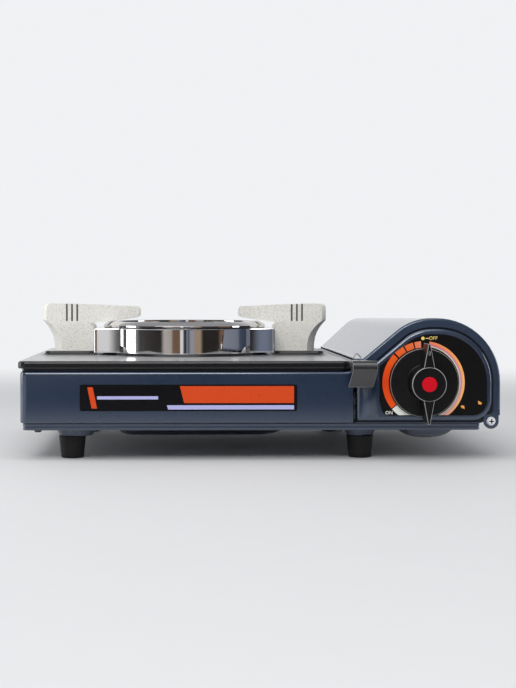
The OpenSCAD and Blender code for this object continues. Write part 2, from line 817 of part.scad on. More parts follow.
module top_plate() {
    roll = 1.8;
    color("#101113") difference() {
        union() {
            difference() {
                loft_z(
                    [plate_loop(0.6), plate_loop(0), plate_loop(0), plate_loop(roll * 0.3),
                     plate_loop(roll)],
                    [lip_z, lip_z + 0.6, plate_z - roll, plate_z - roll * 0.3, plate_z]
                );
                along_z(lip_z - 1, plate_z - plate_t) polygon(plate_loop(plate_t + 0.4));
            }
            difference() {
                along_z(wall_top, plate_z - plate_t / 2) polygon(plate_loop(3));
                along_z(wall_top - 1, plate_z) polygon(plate_loop(3.8));
            }
            rod_z(burner_x, burner_y, plate_z - plate_t, seat_z, ring_r + 2.5);
            translate([burner_x, burner_y, 0]) for (m = [0, 1]) mirror([m, 0, 0]) pad();
        }
        rod_z(burner_x, burner_y, plate_z - 3, seat_z + 1, plate_hole_r);
        translate([burner_x, burner_y, plate_z - plate_t - 0.01])
            cylinder(r1 = ring_r - 3, r2 = ring_r - 5, h = seat_h);
        for (p = support_screw_spots)
            rod_z(p[0], p[1], plate_z - 3, pad_z + 1, SUPPORT_SCREW_R + 0.15);
    }
}

module wind_ring() {
    t = ring_t;
    z0 = seat_z;
    z1 = ring_mid_z;
    reach = ring_r + 1.4;
    inlet_r = (inlet_half * inlet_half + inlet_h * inlet_h) / (2 * inlet_h);
    color("#c9cccf") translate([burner_x, burner_y, 0]) difference() {
        union() {
            rotate_extrude() polygon([
                [ring_r - t, z0], [ring_r, z0], [ring_r, z1 - 1], [reach, z1 - 0.4],
                [reach, z1 + 0.8], [ring_mouth_r + t, z1 + ring_lip_h],
                [ring_mouth_r, z1 + ring_lip_h], [ring_mouth_r, z1 + ring_lip_h - t],
                [reach - t - 0.8, z1 + 0.2], [ring_r - t, z1 - 0.6]
            ]);
            for (side = [-1, 1]) ear(side, t, z0, z1 - 1.2);
        }
        for (a = [-128, -52, 52, 128])
            rotate([0, 0, a]) translate([0, 0, z0 + inlet_h - inlet_r]) rotate([90, 0, 0])
                translate([0, 0, ring_r - 6]) cylinder(r = inlet_r, h = 9);
    }
}

// A square ear pressed out of the ring, which closes it against a support.
module ear(side, t, z0, z1) {
    difference() {
        box(
            side > 0 ? ear_reach - 28 : -ear_reach, side > 0 ? ear_reach : 28 - ear_reach,
            -ear_half, ear_half, z0, z1
        );
        box(
            side > 0 ? ear_reach - 30 : t - ear_reach, side > 0 ? ear_reach - t : 30 - ear_reach,
            t - ear_half, ear_half - t, z0 - 1, z1 - t
        );
        cylinder(r = ring_r - t / 2, h = z1 + 1);
    }
}

SUPPORT_SCREW_R = 1.6;
shoulder_z = pad_z + 23.4;
column_x = support_reach - waist - 12;
support_screw_spots = [
    for (side = [-1, 1], dy = [-1, 1])
        [burner_x + side * column_x, burner_y + dy * (arm_half - arm_t / 2)]
];

// How far the outer side lies from the burner's axis at a height, in the middle and at a corner.
function draw_at(z) = z >= shoulder_z ? 1 : pow((z - pad_z) / (shoulder_z - pad_z), 2.7);
function outer_mid(z) = support_reach - waist * (1 - draw_at(z));
function outer_face(z) = outer_mid(z) - 4.7 - 2.6 * (1 - draw_at(z));

function support_slice(z, top_in) = concat(
    [
        for (k = [-4 : 4])
            let(y = arm_half * k / 4)
            [outer_mid(z) - top_in - (outer_mid(z) - outer_face(z)) * pow(k / 4, 2), y]
    ],
    [[20, arm_half], [20, -arm_half]]
);

// One support, drawn with its arms pointing to -X from its outer side.
module support(tip) {
    top = pad_z + support_h;
    arm_top = top - arm_fall;
    zs = [
        pad_z, pad_z + 5, pad_z + 10, pad_z + 14, pad_z + 17.5, pad_z + 20.5, shoulder_z,
        top - 3.6, top - 1.6, top - 0.5, top
    ];
    ins = [0, 0, 0, 0, 0, 0, 0, 0, 0.5, 1.6, 3.4];
    tip_z = arm_top - arm_tip_h;
    root_z = top - arm_root_h - 2.2;
    difference() {
        loft_z([for (i = [0 : len(zs) - 1]) support_slice(zs[i], ins[i])], zs);
        // The tips, the fall of the top and the space under the arms.
        along_y(-arm_half - 1, arm_half + 1) polygon(concat(
            [[0, pad_z - 1], [column_in, pad_z - 1], [column_in, root_z - 3.4],
             [column_in + 0.8, root_z - 0.9], [column_in + 3, root_z],
             [column_in + 1, root_z + 1], [tip + 26, root_z + 1.6], [tip + 2.5, tip_z]],
            [for (a = [-80 : 20 : 0]) [tip + 2.5 - 2.5 * cos(a), tip_z + 2.5 + 2.5 * sin(a)]],
            [for (a = [0 : 20 : 80]) [tip + 3 - 3 * cos(a), arm_top - 3 + 3 * sin(a)]],
            [[tip + 3, arm_top], [support_reach - 16, top], [support_reach - 16, top + 5],
             [0, top + 5]]
        ));
        // The hollow between the arms, closed by the bowed outer wall.
        along_z(pad_z + 4, top + 1) polygon(rect(
            0, -arm_half + arm_t, outer_face(pad_z) - arm_t, arm_half - arm_t, 6
        ));
        // Three grooves down both faces, and three small notches in the top.
        for (i = [0 : 2], face = [-1, 1])
            box(
                support_reach - 29 + i * 4, support_reach - 27.6 + i * 4,
                face * arm_half - 0.9, face * arm_half + 0.9, shoulder_z - 0.5, top + 1
            );
        for (i = [0 : 2])
            box(
                support_reach - 65 + i * 4.6, support_reach - 62.8 + i * 4.6,
                -arm_half - 1, arm_half + 1, top - arm_fall * 0.6 - 0.7, top + 1
            );
        for (dy = [-1, 1])
            rod_z(
                column_x, dy * (arm_half - arm_t / 2), pad_z - 1, pad_z + 11, SUPPORT_SCREW_R + 0.05
            );
    }
}

module support_left() {
    color("#d4d2cb") translate([burner_x, burner_y, 0]) mirror([1, 0, 0]) support(tip_left);
}

module support_right() {
    color("#d4d2cb") translate([burner_x, burner_y, 0]) support(tip_right);
}

module support_screws() {
    color("#b9bcc0") for (p = support_screw_spots)
        translate([p[0], p[1], plate_z - plate_t]) rotate([180, 0, 0])
            screw(SUPPORT_SCREW_R, pad_h + plate_t + 8, 3.2, 2);
}

// ---- Burner -----------------------------------------------------------------------------

burner_top = plate_z + burner_up;
head_z = burner_top - 10;
bowl_z = tube_z - tube_r - 3;

module burner_cap() {
    color("#3a3632") translate([burner_x, burner_y, 0]) difference() {
        rotate_extrude() polygon([
            [9, head_z + SEAT], [burner_r, head_z + SEAT], [burner_r, head_z + 5],
            [burner_r - 4, head_z + 8.5], [burner_r - 12, burner_top], [14, burner_top],
            [9, burner_top - 2.5]
        ]);
        for (i = [0 : 23])
            rotate([0, 0, i * 15]) box(burner_r - 7, burner_r + 2, -1, 1, head_z - 1, head_z + 3);
    }
}

module burner_body() {
    color("#b6b4ae") translate([burner_x, burner_y, 0]) difference() {
        union() {
            rotate_extrude() polygon([
                [8.6, head_z], [burner_r, head_z], [burner_r, head_z - 3], [22, head_z - 11],
                [18, head_z - 13], [18, bowl_z], [8.6, bowl_z]
            ]);
            rotate([0, 0, tube_a + 180]) rod_x(0, tube_z, 10, 26, tube_r + 3);
        }
        rotate([0, 0, tube_a + 180]) rod_x(0, tube_z, 12, 30, tube_r + run_gap);
    }
}

module mixing_tube() {
    mouth = jet_x - 10;
    color("#a9abad") along_jet() difference() {
        union() {
            rod_x(0, tube_z, 13, mouth, tube_r);
            rod_x(0, tube_z, mouth - 20, mouth, tube_r + 0.8);
        }
        rod_x(0, tube_z, 12, mouth + 1, tube_r - tube_t);
        for (s = [-1, 1])
            box(mouth - 14, mouth - 6, s * tube_r - 2.4, s * tube_r + 2.4, tube_z - 3, tube_z + 3);
    }
}

bracket_half = 30;
BURNER_SCREW_R = 2;

// A bridge of sheet over the pan in the base plate, which carries the burner.
module burner_bracket() {
    reach = belly_d / 2 + 8;
    floor_top = floor_z + sheet_t;
    deck = bowl_z;
    color("#8d9196") translate([burner_x, burner_y, 0]) difference() {
        union() {
            along_x(-bracket_half / 2, bracket_half / 2) polygon([
                [-reach, floor_top], [-reach + 14, floor_top], [-24, deck - 1.5], [24, deck - 1.5],
                [reach - 14, floor_top], [reach, floor_top], [reach, floor_top + 1.5],
                [reach - 13.2, floor_top + 1.5], [24.8, deck], [-24.8, deck],
                [-reach + 13.2, floor_top + 1.5], [-reach, floor_top + 1.5]
            ]);
        }
        for (dy = [-13, 13]) rod_z(0, dy, deck - 5, deck + 1, BURNER_SCREW_R + 0.1);
    }
}

module burner_screws() {
    color("#b9bcc0") translate([burner_x, burner_y, bowl_z - 1.5]) for (dy = [-13, 13])
        translate([0, dy, 0]) rotate([180, 0, 0]) screw(BURNER_SCREW_R, 1.4, 3.6, 2.2);
}

module electrode_insulator() {
    color("#e9e5da") translate([electrode_x, burner_y, 0])
        rod_z(0, 0, head_z - 14, head_z + 3, 2.6);
}

module electrode() {
    z = head_z + 3;
    color("#8f8f8f") sweep([
        [electrode_x, burner_y, z], [electrode_x, burner_y, z + 3],
        [electrode_x - 0.9, burner_y, z + 4.6], [electrode_x - 3, burner_y, z + 5.2]
    ], 0.7);
}

// ---- Gas valve --------------------------------------------------------------------------

// Everything along the gas jet is drawn with the burner's axis as origin and +X towards the valve.
JET_SHANK_R = 2.4;
jet_x = norm(tube_to - tube_from);
boss_x = jet_x - 3.2;

module along_jet() {
    translate([burner_x, burner_y, 0]) rotate([0, 0, tube_a + 180]) children();
}

module gas_nozzle() {
    color("#c2a14d") along_jet() difference() {
        union() {
            rod_x(0, tube_z, jet_x - 13, boss_x - SEAT, 3);
            rod_x(0, tube_z, boss_x - SEAT - 4, boss_x - SEAT, 4.6);
            rod_x(0, tube_z, boss_x - 1, jet_x + 1, JET_SHANK_R);
        }
        rod_x(0, tube_z, jet_x - 14, jet_x + 2, 0.6);
    }
}

module regulator_body() {
    x0 = knob_x - block_half;
    x1 = knob_x + block_half;
    color("#a7a9ab") difference() {
        union() {
            box(x0, x1, block_y, block_back, diaphragm_z + 5, knob_z + block_half);
            rod_z(diaphragm_x, diaphragm_y, diaphragm_z, diaphragm_z + 5.2, diaphragm_r);
            rod_y(knob_x, knob_z, block_y - 2, block_y + 1, spindle_r + 4);
            along_jet() rod_x(0, tube_z, boss_x, boss_x + 12.5, 7);
        }
        rod_y(knob_x, knob_z, block_y - 3, block_y + 14, spindle_r + run_gap);
        along_jet() rod_x(0, tube_z, boss_x - 1, jet_x + 1.2, JET_SHANK_R + run_gap);
        cover_screw_holes();
        rod_y(cartridge_x, cartridge_z, block_back - 6, block_back + 1, 3);
    }
}

COVER_SCREW_R = 1;
cover_flange_z = floor_z + 9;
cover_screw_spots = [
    for (a = [0 : 60 : 300])
        [diaphragm_x, diaphragm_y] + (diaphragm_r - 2.4) * [cos(a), sin(a)]
];

module cover_screw_holes() {
    for (p = cover_screw_spots)
        rod_z(p[0], p[1], cover_flange_z - 1, cover_flange_z + 9, COVER_SCREW_R + run_gap);
}

module regulator_cover() {
    z0 = floor_z - dish_depth + sheet_t + 1.6;
    color("#b4b6b8") difference() {
        translate([diaphragm_x, diaphragm_y, 0]) rotate_extrude() polygon([
            [0, z0], [8, z0], [diaphragm_r - 5, z0 + 2], [diaphragm_r - 4.8, cover_flange_z],
            [diaphragm_r, cover_flange_z], [diaphragm_r, diaphragm_z], [0, diaphragm_z]
        ]);
        cover_screw_holes();
    }
}

module regulator_screws() {
    color("#b9bcc0") for (p = cover_screw_spots)
        translate([p[0], p[1], cover_flange_z]) rotate([180, 0, 0]) screw(COVER_SCREW_R, 8, 1.4, 1);
}

bracket_left = knob_x - block_half - 4;

module regulator_bracket() {
    y0 = cam_y + cam_t + 0.4;
    color("#8d9196") difference() {
        union() {
            box(
                bracket_left, knob_x + block_half + 4, y0, y0 + 1.2, wall_z + sheet_t,
                knob_z + block_half + 3
            );
            for (s = [-1, 1])
                rod_y(knob_x + s * (block_half + 1.6), knob_z + block_half, frame_y + frame_t, y0, 1.6);
        }
        rod_y(knob_x, knob_z, y0 - 1, y0 + 3, spindle_r + 4.4);
    }
}

module valve_spindle() {
    color("#c9b06a") rod_y(knob_x, knob_z, dial_y - 18, block_y + 10, spindle_r);
}

// A spiral cam: its rim rises evenly over the whole turn, so the plunger follows the knob.
module spindle_cam() {
    function rim(a) = cam_r + cam_lift * max(0, min(1, (182 - a) / knob_turn));
    function back(a) = cam_r + cam_lift * (1 - (a - 20) / -155);
    rise = [for (a = [184 : -6 : 182 - knob_turn]) rim(a) * [cos(a), sin(a)]];
    fall = [for (k = [1 : 9]) let(a = 182 - knob_turn - k * 17.5)
        (cam_r + cam_lift * (1 - k / 10)) * [cos(a), sin(a)]];
    color("#1d1d1f") difference() {
        along_y(cam_y, cam_y + cam_t) translate([knob_x, knob_z]) polygon(reversed(concat(rise, fall)));
        rod_y(knob_x, knob_z, cam_y - 1, cam_y + cam_t + 1, spindle_r);
    }
}

module inlet_collar() {
    color("#b4b6b8") difference() {
        union() {
            rod_y(cartridge_x, cartridge_z, block_back, collar_y, 15);
            rod_y(cartridge_x, cartridge_z, collar_y - 1, nozzle_y - 1.4, 8);
            for (s = [-1, 1])
                box(
                    cartridge_x + s * 18 - 4, cartridge_x + s * 18 + 4, block_back, collar_y,
                    cartridge_z - 5, cartridge_z + 5
                );
        }
        rod_y(cartridge_x, cartridge_z, block_back - 1, nozzle_y, 3);
    }
}

module collar_seal() {
    color("#1b1b1d") difference() {
        rod_y(cartridge_x, cartridge_z, nozzle_y - 1.4, nozzle_y, 6.5);
        rod_y(cartridge_x, cartridge_z, nozzle_y - 2, nozzle_y + 1, 3);
    }
}

// ---- Sled and lock lever ------------------------------------------------------------------

rail_z = sled_z + sled_t + SEAT + 1.2;

module cartridge_sled() {
    z0 = sled_z;
    z1 = sled_z + sled_t;
    y0 = cartridge_y + 7;
    ear_y = pivot_y;
    slot = stud_r + 0.4;
    color("#9fa2a6") difference() {
        union() {
            box(cartridge_x - sled_half, cartridge_x + sled_half, y0, sled_back + 1.5, z0, z1);
            box(arm_x, cartridge_x, y0, y0 + 10, z0, z1);
            box(arm_x, arm_x + 10, ear_y - 5, y0 + 10, z0, z1);
            box(arm_x, arm_x + 1.2, ear_y - 5, ear_y + 5, z0, pivot_z + stud_up + 3);
            box(cartridge_x - 14, cartridge_x + 14, sled_back, sled_back + 1.5, z0, cartridge_z);
            for (s = [-1, 1])
                box(
                    cartridge_x + s * 9 - 2, cartridge_x + s * 9 + 2, y0 + 12, sled_back, z0, z1 + 1.2
                );
        }
        box(arm_x - 1, arm_x + 2, ear_y - slot, ear_y + slot, pivot_z - 2, pivot_z + stud_up + 9);
    }
}

// Two channels on the base plate that the sled's edges run in.
module sled_rails() {
    color("#8d9196") for (s = [-1, 1]) translate([cartridge_x, 0, 0]) mirror([s < 0 ? 1 : 0, 0, 0])
        translate([sled_half + 0.4, 0, 0]) {
            box(0, 1.2, cartridge_y + 24, sled_back - 14, floor_z + sheet_t, rail_z);
            box(-3, 0.6, cartridge_y + 24, sled_back - 14, rail_z - 1.2, rail_z);
            box(0.6, 6, cartridge_y + 24, sled_back - 14, floor_z + sheet_t, floor_z + sheet_t + 1.2);
        }
}

spring_from = sled_back + 1.5;
spring_to = rear_frame_y;
spring_turns = 4;

module sled_spring() {
    steps = 12 * spring_turns;
    gap = 0.7;
    span = spring_to - spring_from - 2 * gap;
    color("#c4c6c8") sweep([
        for (i = [0 : steps])
            [cartridge_x + 4.5 * cos(30 * i), spring_from + gap + span * i / steps,
             floor_z + 16 + 4.5 * sin(30 * i)]
    ], 0.6, 6);
}

module lock_lever() {
    x0 = blade_x;
    x1 = blade_x + blade_t;
    y0 = y_front - flap_reach;
    z1 = flap_top;
    z0 = flap_top - flap_h;
    t = 1.4;
    color("#141416") {
        difference() {
            union() {
                along_x(x0, x1) polygon([
                    [y0 + t, z1 - 4], [y0 + t, z1 - 8], [y_front - 4, z0 + 6], [y_front, z0 + 2],
                    [pivot_y - 3.6, pivot_z - 2], [pivot_y, pivot_z - 4.2],
                    [pivot_y + 4.2, pivot_z], [pivot_y + 3.2, pivot_z + stud_up + 2],
                    [pivot_y, pivot_z + stud_up + 3.4], [y_front + 3, z1 - 5],
                    [y_front - 2, z1 - t / 2], [y0 + 4, z1 - t / 2]
                ]);
                rod_x(pivot_y, pivot_z + stud_up, x0, arm_x + 2.4, stud_r);
            }
            rod_x(pivot_y, pivot_z, x0 - 1, x1 + 1, lever_pin_r + run_gap);
        }
        // The finger flap: a level top, a rounded nose and a face that slants back and left.
        intersection() {
            along_x(flap_x - flap_lean - 1, flap_x + flap_w + 1) polygon(concat(
                [[y_front - 1.6, z1 - t], [y_front - 1.6, z1]],
                [for (a = [90 : 15 : 195]) [y0 + 3.4 + 3.4 * cos(a), z1 - 3.4 + 3.4 * sin(a)]],
                [[y0 + 4.4, z0 + 0.2], [y0 + 4.4 + t, z0]],
                [for (a = [195 : -15 : 90])
                    [y0 + 3.4 + (3.4 - t) * cos(a), z1 - 3.4 + (3.4 - t) * sin(a)]]
            ));
            along_y(y0 - 1, y_front) polygon([
                [flap_x - flap_lean, z0 - 0.1], [flap_x + flap_w - flap_lean, z0 - 0.1],
                [flap_x + flap_w, z1 - 7], [flap_x + flap_w, z1 + 1], [flap_x, z1 + 1], [flap_x, z1 - 7]
            ]);
        }
    }
}

module lever_pin() {
    color("#b9bcc0") {
        rod_x(pivot_y, pivot_z, wall_x - 0.6, blade_x + blade_t + 2.2, lever_pin_r);
        rod_x(pivot_y, pivot_z, wall_x - 1.6, wall_x, lever_pin_r + 1);
    }
}

module lever_bracket() {
    x0 = blade_x + blade_t + 0.5;
    x1 = x0 + 1.2;
    color("#8d9196") difference() {
        union() {
            box(x0, x1, pivot_y - 3.2, pivot_y + 3.2, floor_z + sheet_t, pivot_z + 3.2);
            for (z = [floor_z + sheet_t, pivot_z - 12])
                box(wall_x + wall_t, x1, pivot_y - 3.2, pivot_y + 3.2, z, z + 1.2);
        }
        rod_x(pivot_y, pivot_z, x0 - 1, x1 + 1, lever_pin_r);
    }
}

// ---- Igniter --------------------------------------------------------------------------------

igniter_half = 4.5;
plunger_r = 2;
plunger_y = cam_y + cam_t / 2;
plunger_tip = knob_x - cam_r - SEAT;
plunger_back = plunger_tip - 18;
igniter_x1 = bracket_left - SEAT;
igniter_x0 = igniter_x1 - 16;
igniter_y = plunger_y - plunger_r - run_gap - 0.5 + igniter_half;

module piezo_igniter() {
    color("#d8d4c6") difference() {
        box(
            igniter_x0, igniter_x1, igniter_y - igniter_half, igniter_y + igniter_half,
            knob_z - igniter_half, knob_z + igniter_half
        );
        rod_x(
            plunger_y, knob_z, plunger_back - cam_lift - 0.5, igniter_x1 + 1, plunger_r + run_gap
        );
    }
}

module piezo_plunger() {
    color("#c23b2a") rod_x(plunger_y, knob_z, plunger_back, plunger_tip, plunger_r);
}

module piezo_clamp() {
    z0 = knob_z - igniter_half;
    z1 = knob_z + igniter_half;
    y0 = frame_y + frame_t;
    y1 = igniter_y + igniter_half + SEAT;
    color("#8d9196") difference() {
        box(igniter_x0 + 3, igniter_x0 + 11, y0, y1 + 1, z0 - 1.3, z1 + 1.3);
        box(igniter_x0 + 2, igniter_x0 + 12, y0 - 1, y1, z0 - SEAT, z1 + SEAT);
    }
}

// The high-tension wire from the igniter, under the mixing tube and round to the electrode.
module ignition_wire() {
    from = [igniter_x0, igniter_y + 2, knob_z - 2];
    hole = [wall_x + wall_t / 2, wire_hole_y, wire_hole_z];
    to = [electrode_x, burner_y, head_z - 14];
    color("#d9d6cc") sweep([
        from, from + [-3, 0, 0], [igniter_x0 - 4, from[1] + 5, knob_z - 8],
        [igniter_x0 - 2, from[1] + 20, tube_z - 14], [arm_x + 3, from[1] + 42, wire_hole_z + 2],
        [hole[0] + 5, hole[1] - 40, hole[2]], [hole[0] + 5, hole[1] - 8, hole[2]],
        hole + [2.5, 0, 0], hole - [2.5, 0, 0], hole + [-12, -1, 1],
        [electrode_x + 14, burner_y + 4, floor_z + 12], [electrode_x + 3, burner_y, to[2] - 9],
        to - [0, 0, 3], to
    ], 1.2);
}

// ---- Knob -------------------------------------------------------------------------------

knob_h = knob_reach - panel_proud - dial_t;

module control_knob() {
    face = knob_h - 1;
    base = 0.8 + skirt_h;
    half = wing_w / 2;
    flank = wing_reach - 1;
    color("#161618") translate([knob_x, dial_y, knob_z]) rotate([90, 0, 0]) difference() {
        union() {
            rotate_extrude() polygon([
                [0, 0.8], [skirt_r - 0.6, 0.8], [skirt_r, 1.6], [skirt_r, base - 1],
                [skirt_r - 1.2, base], [hub_r + 1.4, base + 0.9], [hub_r + 0.3, base + 1.8],
                [hub_r, face - 0.7], [hub_r - 0.7, face], [0, face]
            ]);
            translate([0, 0, base - 0.5]) linear_extrude(face - base + 0.2) polygon([
                [-0.7, -wing_reach], [0.7, -wing_reach], [half - 0.9, -hub_r - 2], [half, -hub_r + 3],
                [half, hub_r - 3], [half - 0.9, hub_r + 2], [0.7, wing_reach], [-0.7, wing_reach],
                [0.9 - half, hub_r + 2], [-half, hub_r - 3], [-half, 3 - hub_r], [0.9 - half, -hub_r - 2]
            ]);
        }
        translate([0, 0, -1]) cylinder(r = spindle_r + run_gap, h = 19.2);
        translate([0, 0, face - 1.6]) cylinder(r = cap_r + run_gap, h = 3);
        translate([0, flank * 0.72, face]) cylinder(r = 1.1, h = 1.2, center = true);
    }
}

module knob_cap() {
    face = knob_h - 1;
    color("#cc0020") translate([knob_x, dial_y, knob_z]) rotate([90, 0, 0]) rotate_extrude() polygon([
        [0, face - 1.5], [cap_r, face - 1.5], [cap_r, knob_h - 0.5], [cap_r - 0.5, knob_h], [0, knob_h]
    ]);
}

// ---- Lid --------------------------------------------------------------------------------

// The band round one end of the lid, with the ear that its hinge screw goes through.
module end_flange(pts, y0, y1) {
    outer = open_path(pts, 0.2);
    inner = open_path(concat(
        [[x_right + flange_thin, side_end], [x_right + flange_thin, pts[1][1], pts[1][2]]],
        [for (i = [2 : 4]) pts[i]]
    ), flange_w);
    difference() {
        union() {
            intersection() {
                along_y(y0, y1) polygon(concat(outer, reversed(inner)));
                box(lid_left + 1.5, x_right + 1, y0 - 1, y1 + 1, 0, lid_top + 1);
                box(lid_left, x_right + 1, y0 - 1, y1 + 1, seam_z - 9, lid_top + 1);
            }
            box(x_right - flange_w + flange_thin, x_right - 0.2, y0, y1, side_end - 3, side_end + 1);
            box(hinge_x, x_right - 0.4, y0, y1, hinge_z, side_end);
            rod_y(hinge_x, hinge_z, y0, y1, ear_r);
        }
        rod_y(hinge_x, hinge_z, y0 - 1, y1 + 1, hinge_screw_r + run_gap);
    }
}

module lid() {
    color("#2a3a54") union() {
        skin_y(
            open_path(front_corners), open_path(front_corners, lid_t),
            open_path(rear_corners), open_path(rear_corners, lid_t), y_front, y_rear
        );
        end_flange(front_corners, y_front, y_front + ear_t);
        end_flange(rear_corners, y_rear - ear_t, y_rear);
    }
}

module hinge_screw(y, way) {
    color("#c3c6ca") translate([hinge_x, y, hinge_z]) rotate([way * 90, 0, 0])
        screw(hinge_screw_r, ear_t + SHEET_GAP + frame_t + 2, 3.2, HINGE_HEAD_H);
}

module hinge_screw_front() { hinge_screw(y_front, 1); }
module hinge_screw_rear() { hinge_screw(y_rear, -1); }

// Rubber buttons on the partition's ledge that the lid closes onto.
module lid_bumpers() {
    ledge = seam_z - lid_t - 1.2;
    color("#1b1b1d") for (y = [y_front + 22, y_rear - 22])
        rod_z(lid_left + 1.5, y, ledge, ledge + 0.9, 1.4);
}

module label_plate() {
    x1 = slot_left - 39.4;
    z0 = wall_z + 8.8;
    color("#e8500f") along_y(y_front - label_t, y_front)
        polygon(rect(x1 - label_w, z0, x1, z0 + label_h, 1.5));
}

// ---- Parts --------------------------------------------------------------------------------

body_shell();
base_plate();
foot_front_left();
foot_front_right();
foot_rear_left();
foot_rear_right();
foot_screws();
base_screws();
front_frame();
front_panel();
dial_plate();
rear_panel();
partition();
top_plate();
wind_ring();
support_left();
support_right();
support_screws();
burner_cap();
burner_body();
mixing_tube();
burner_bracket();
burner_screws();
gas_nozzle();
regulator_body();
regulator_cover();
regulator_screws();
regulator_bracket();
valve_spindle();
spindle_cam();
inlet_collar();
collar_seal();
cartridge_sled();
sled_spring();
sled_rails();
lock_lever();
lever_pin();
lever_bracket();
piezo_igniter();
piezo_plunger();
piezo_clamp();
ignition_wire();
electrode();
electrode_insulator();
control_knob();
knob_cap();
lid();
hinge_screw_front();
hinge_screw_rear();
lid_bumpers();
label_plate();
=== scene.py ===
"""Butane cassette stove: detailed meshes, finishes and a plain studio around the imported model.

All sizes are in millimetres in the model's own frame (+X right, -Y front, +Z up) and become
metres where a mesh is made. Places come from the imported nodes, so the pieces follow the model.
"""

from __future__ import annotations

import json
import logging
import math
from collections import Counter
from contextlib import contextmanager
from dataclasses import dataclass, field, replace
from enum import Enum
from typing import Iterator, Sequence

import bmesh
import bpy
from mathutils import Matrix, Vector

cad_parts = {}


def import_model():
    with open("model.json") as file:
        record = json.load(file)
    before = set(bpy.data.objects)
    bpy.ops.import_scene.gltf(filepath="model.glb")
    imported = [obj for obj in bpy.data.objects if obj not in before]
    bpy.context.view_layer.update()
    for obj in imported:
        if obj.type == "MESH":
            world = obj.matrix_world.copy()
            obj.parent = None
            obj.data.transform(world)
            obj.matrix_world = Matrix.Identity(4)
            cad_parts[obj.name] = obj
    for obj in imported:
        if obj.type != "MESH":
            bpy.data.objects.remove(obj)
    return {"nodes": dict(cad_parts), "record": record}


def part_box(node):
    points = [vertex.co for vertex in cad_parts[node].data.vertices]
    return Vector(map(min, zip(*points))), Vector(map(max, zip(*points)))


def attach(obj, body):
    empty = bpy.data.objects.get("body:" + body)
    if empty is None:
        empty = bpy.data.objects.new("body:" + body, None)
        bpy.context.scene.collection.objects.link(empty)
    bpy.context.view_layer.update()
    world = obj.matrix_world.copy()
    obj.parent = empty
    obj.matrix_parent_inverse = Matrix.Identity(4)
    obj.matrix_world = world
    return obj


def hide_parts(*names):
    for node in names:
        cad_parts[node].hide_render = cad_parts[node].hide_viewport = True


LOG = logging.getLogger("stove")
MM = 0.001
WELD = 1e-6
NODE_WELD = 2e-6
SAME_PLANE = math.radians(1.0)

Colour = tuple[float, float, float]
Point = tuple[float, float]
Ring = list[Vector]
Stops = Sequence[tuple[float, Colour]]
Socket = bpy.types.NodeSocket
Piece = bpy.types.Object


class Body(Enum):
    """The moving bodies of the model."""

    STOVE = "stove_body"
    COOKTOP = "cooktop"
    KNOB = "knob"
    PLUNGER = "plunger"
    LEVER = "lever"
    SLED = "sled"
    LID = "lid"


class Side(Enum):
    """Left or right, with the sign of its direction along X."""

    LEFT = -1
    RIGHT = 1

    @property
    def label(self) -> str:
        """The side as it stands in the names of pieces."""
        return self.name.lower()


class Axis(Enum):
    """The axis that a profile is turned about."""

    DEPTH = "Y"
    HEIGHT = "Z"


# ---- Reading the frame ------------------------------------------------------------------


@dataclass(frozen=True)
class Span:
    """Lowest and highest corner of a node at rest, in millimetres."""

    lo: Vector
    hi: Vector

    @classmethod
    def of(cls, node: str) -> Span:
        """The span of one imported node."""
        lo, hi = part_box(node)
        return cls(Vector(lo) / MM, Vector(hi) / MM)

    @property
    def mid(self) -> Vector:
        """The middle of the span."""
        return (self.lo + self.hi) / 2

    @property
    def wide(self) -> float:
        """Its length along X."""
        return self.hi.x - self.lo.x

    @property
    def deep(self) -> float:
        """Its length along Y."""
        return self.hi.y - self.lo.y

    @property
    def tall(self) -> float:
        """Its length along Z."""
        return self.hi.z - self.lo.z

    def end(self, side: Side) -> float:
        """The place along X where it ends on one side."""
        return self.lo.x if side is Side.LEFT else self.hi.x


@dataclass(frozen=True)
class Layout:
    """Levels and lines that several pieces share, worked out from the frame."""

    pad_rise: float = 3.2
    seat_rise: float = 2.4
    slot_width: float = 2.5
    seam_rise: float = 1.6
    side_rise: float = 8.6

    @property
    def plate_z(self) -> float:
        """Height of the flat of the top plate."""
        return Span.of("top_plate").hi.z - self.pad_rise

    @property
    def seat_z(self) -> float:
        """Height of the wind ring's seat."""
        return self.plate_z + self.seat_rise

    @property
    def wall_z(self) -> float:
        """Height of the lower edge of the body's walls."""
        return Span.of("body_shell").lo.z

    @property
    def seam_z(self) -> float:
        """Height of the flat seam along the lid's left edge."""
        return self.plate_z + self.seam_rise

    @property
    def lid_side_z(self) -> float:
        """Height of the lower end of the lid's right side."""
        return self.wall_z + self.side_rise

    @property
    def bulkhead_y(self) -> float:
        """Depth of the bulkhead behind the front panel."""
        return Span.of("front_frame").hi.y

    @property
    def slot_right(self) -> float:
        """Right side of the lock lever's slot."""
        return Span.of("front_panel").lo.x

    @property
    def slot_left(self) -> float:
        """Left side of the lock lever's slot."""
        return self.slot_right - self.slot_width


# ---- Outlines -----------------------------------------------------------------------------


@dataclass(frozen=True)
class Corner:
    """A corner of an outline, rounded with radius r."""

    x: float
    y: float
    r: float = 0.0

    @property
    def at(self) -> Vector:
        """The corner as a 2-D vector."""
        return Vector((self.x, self.y))


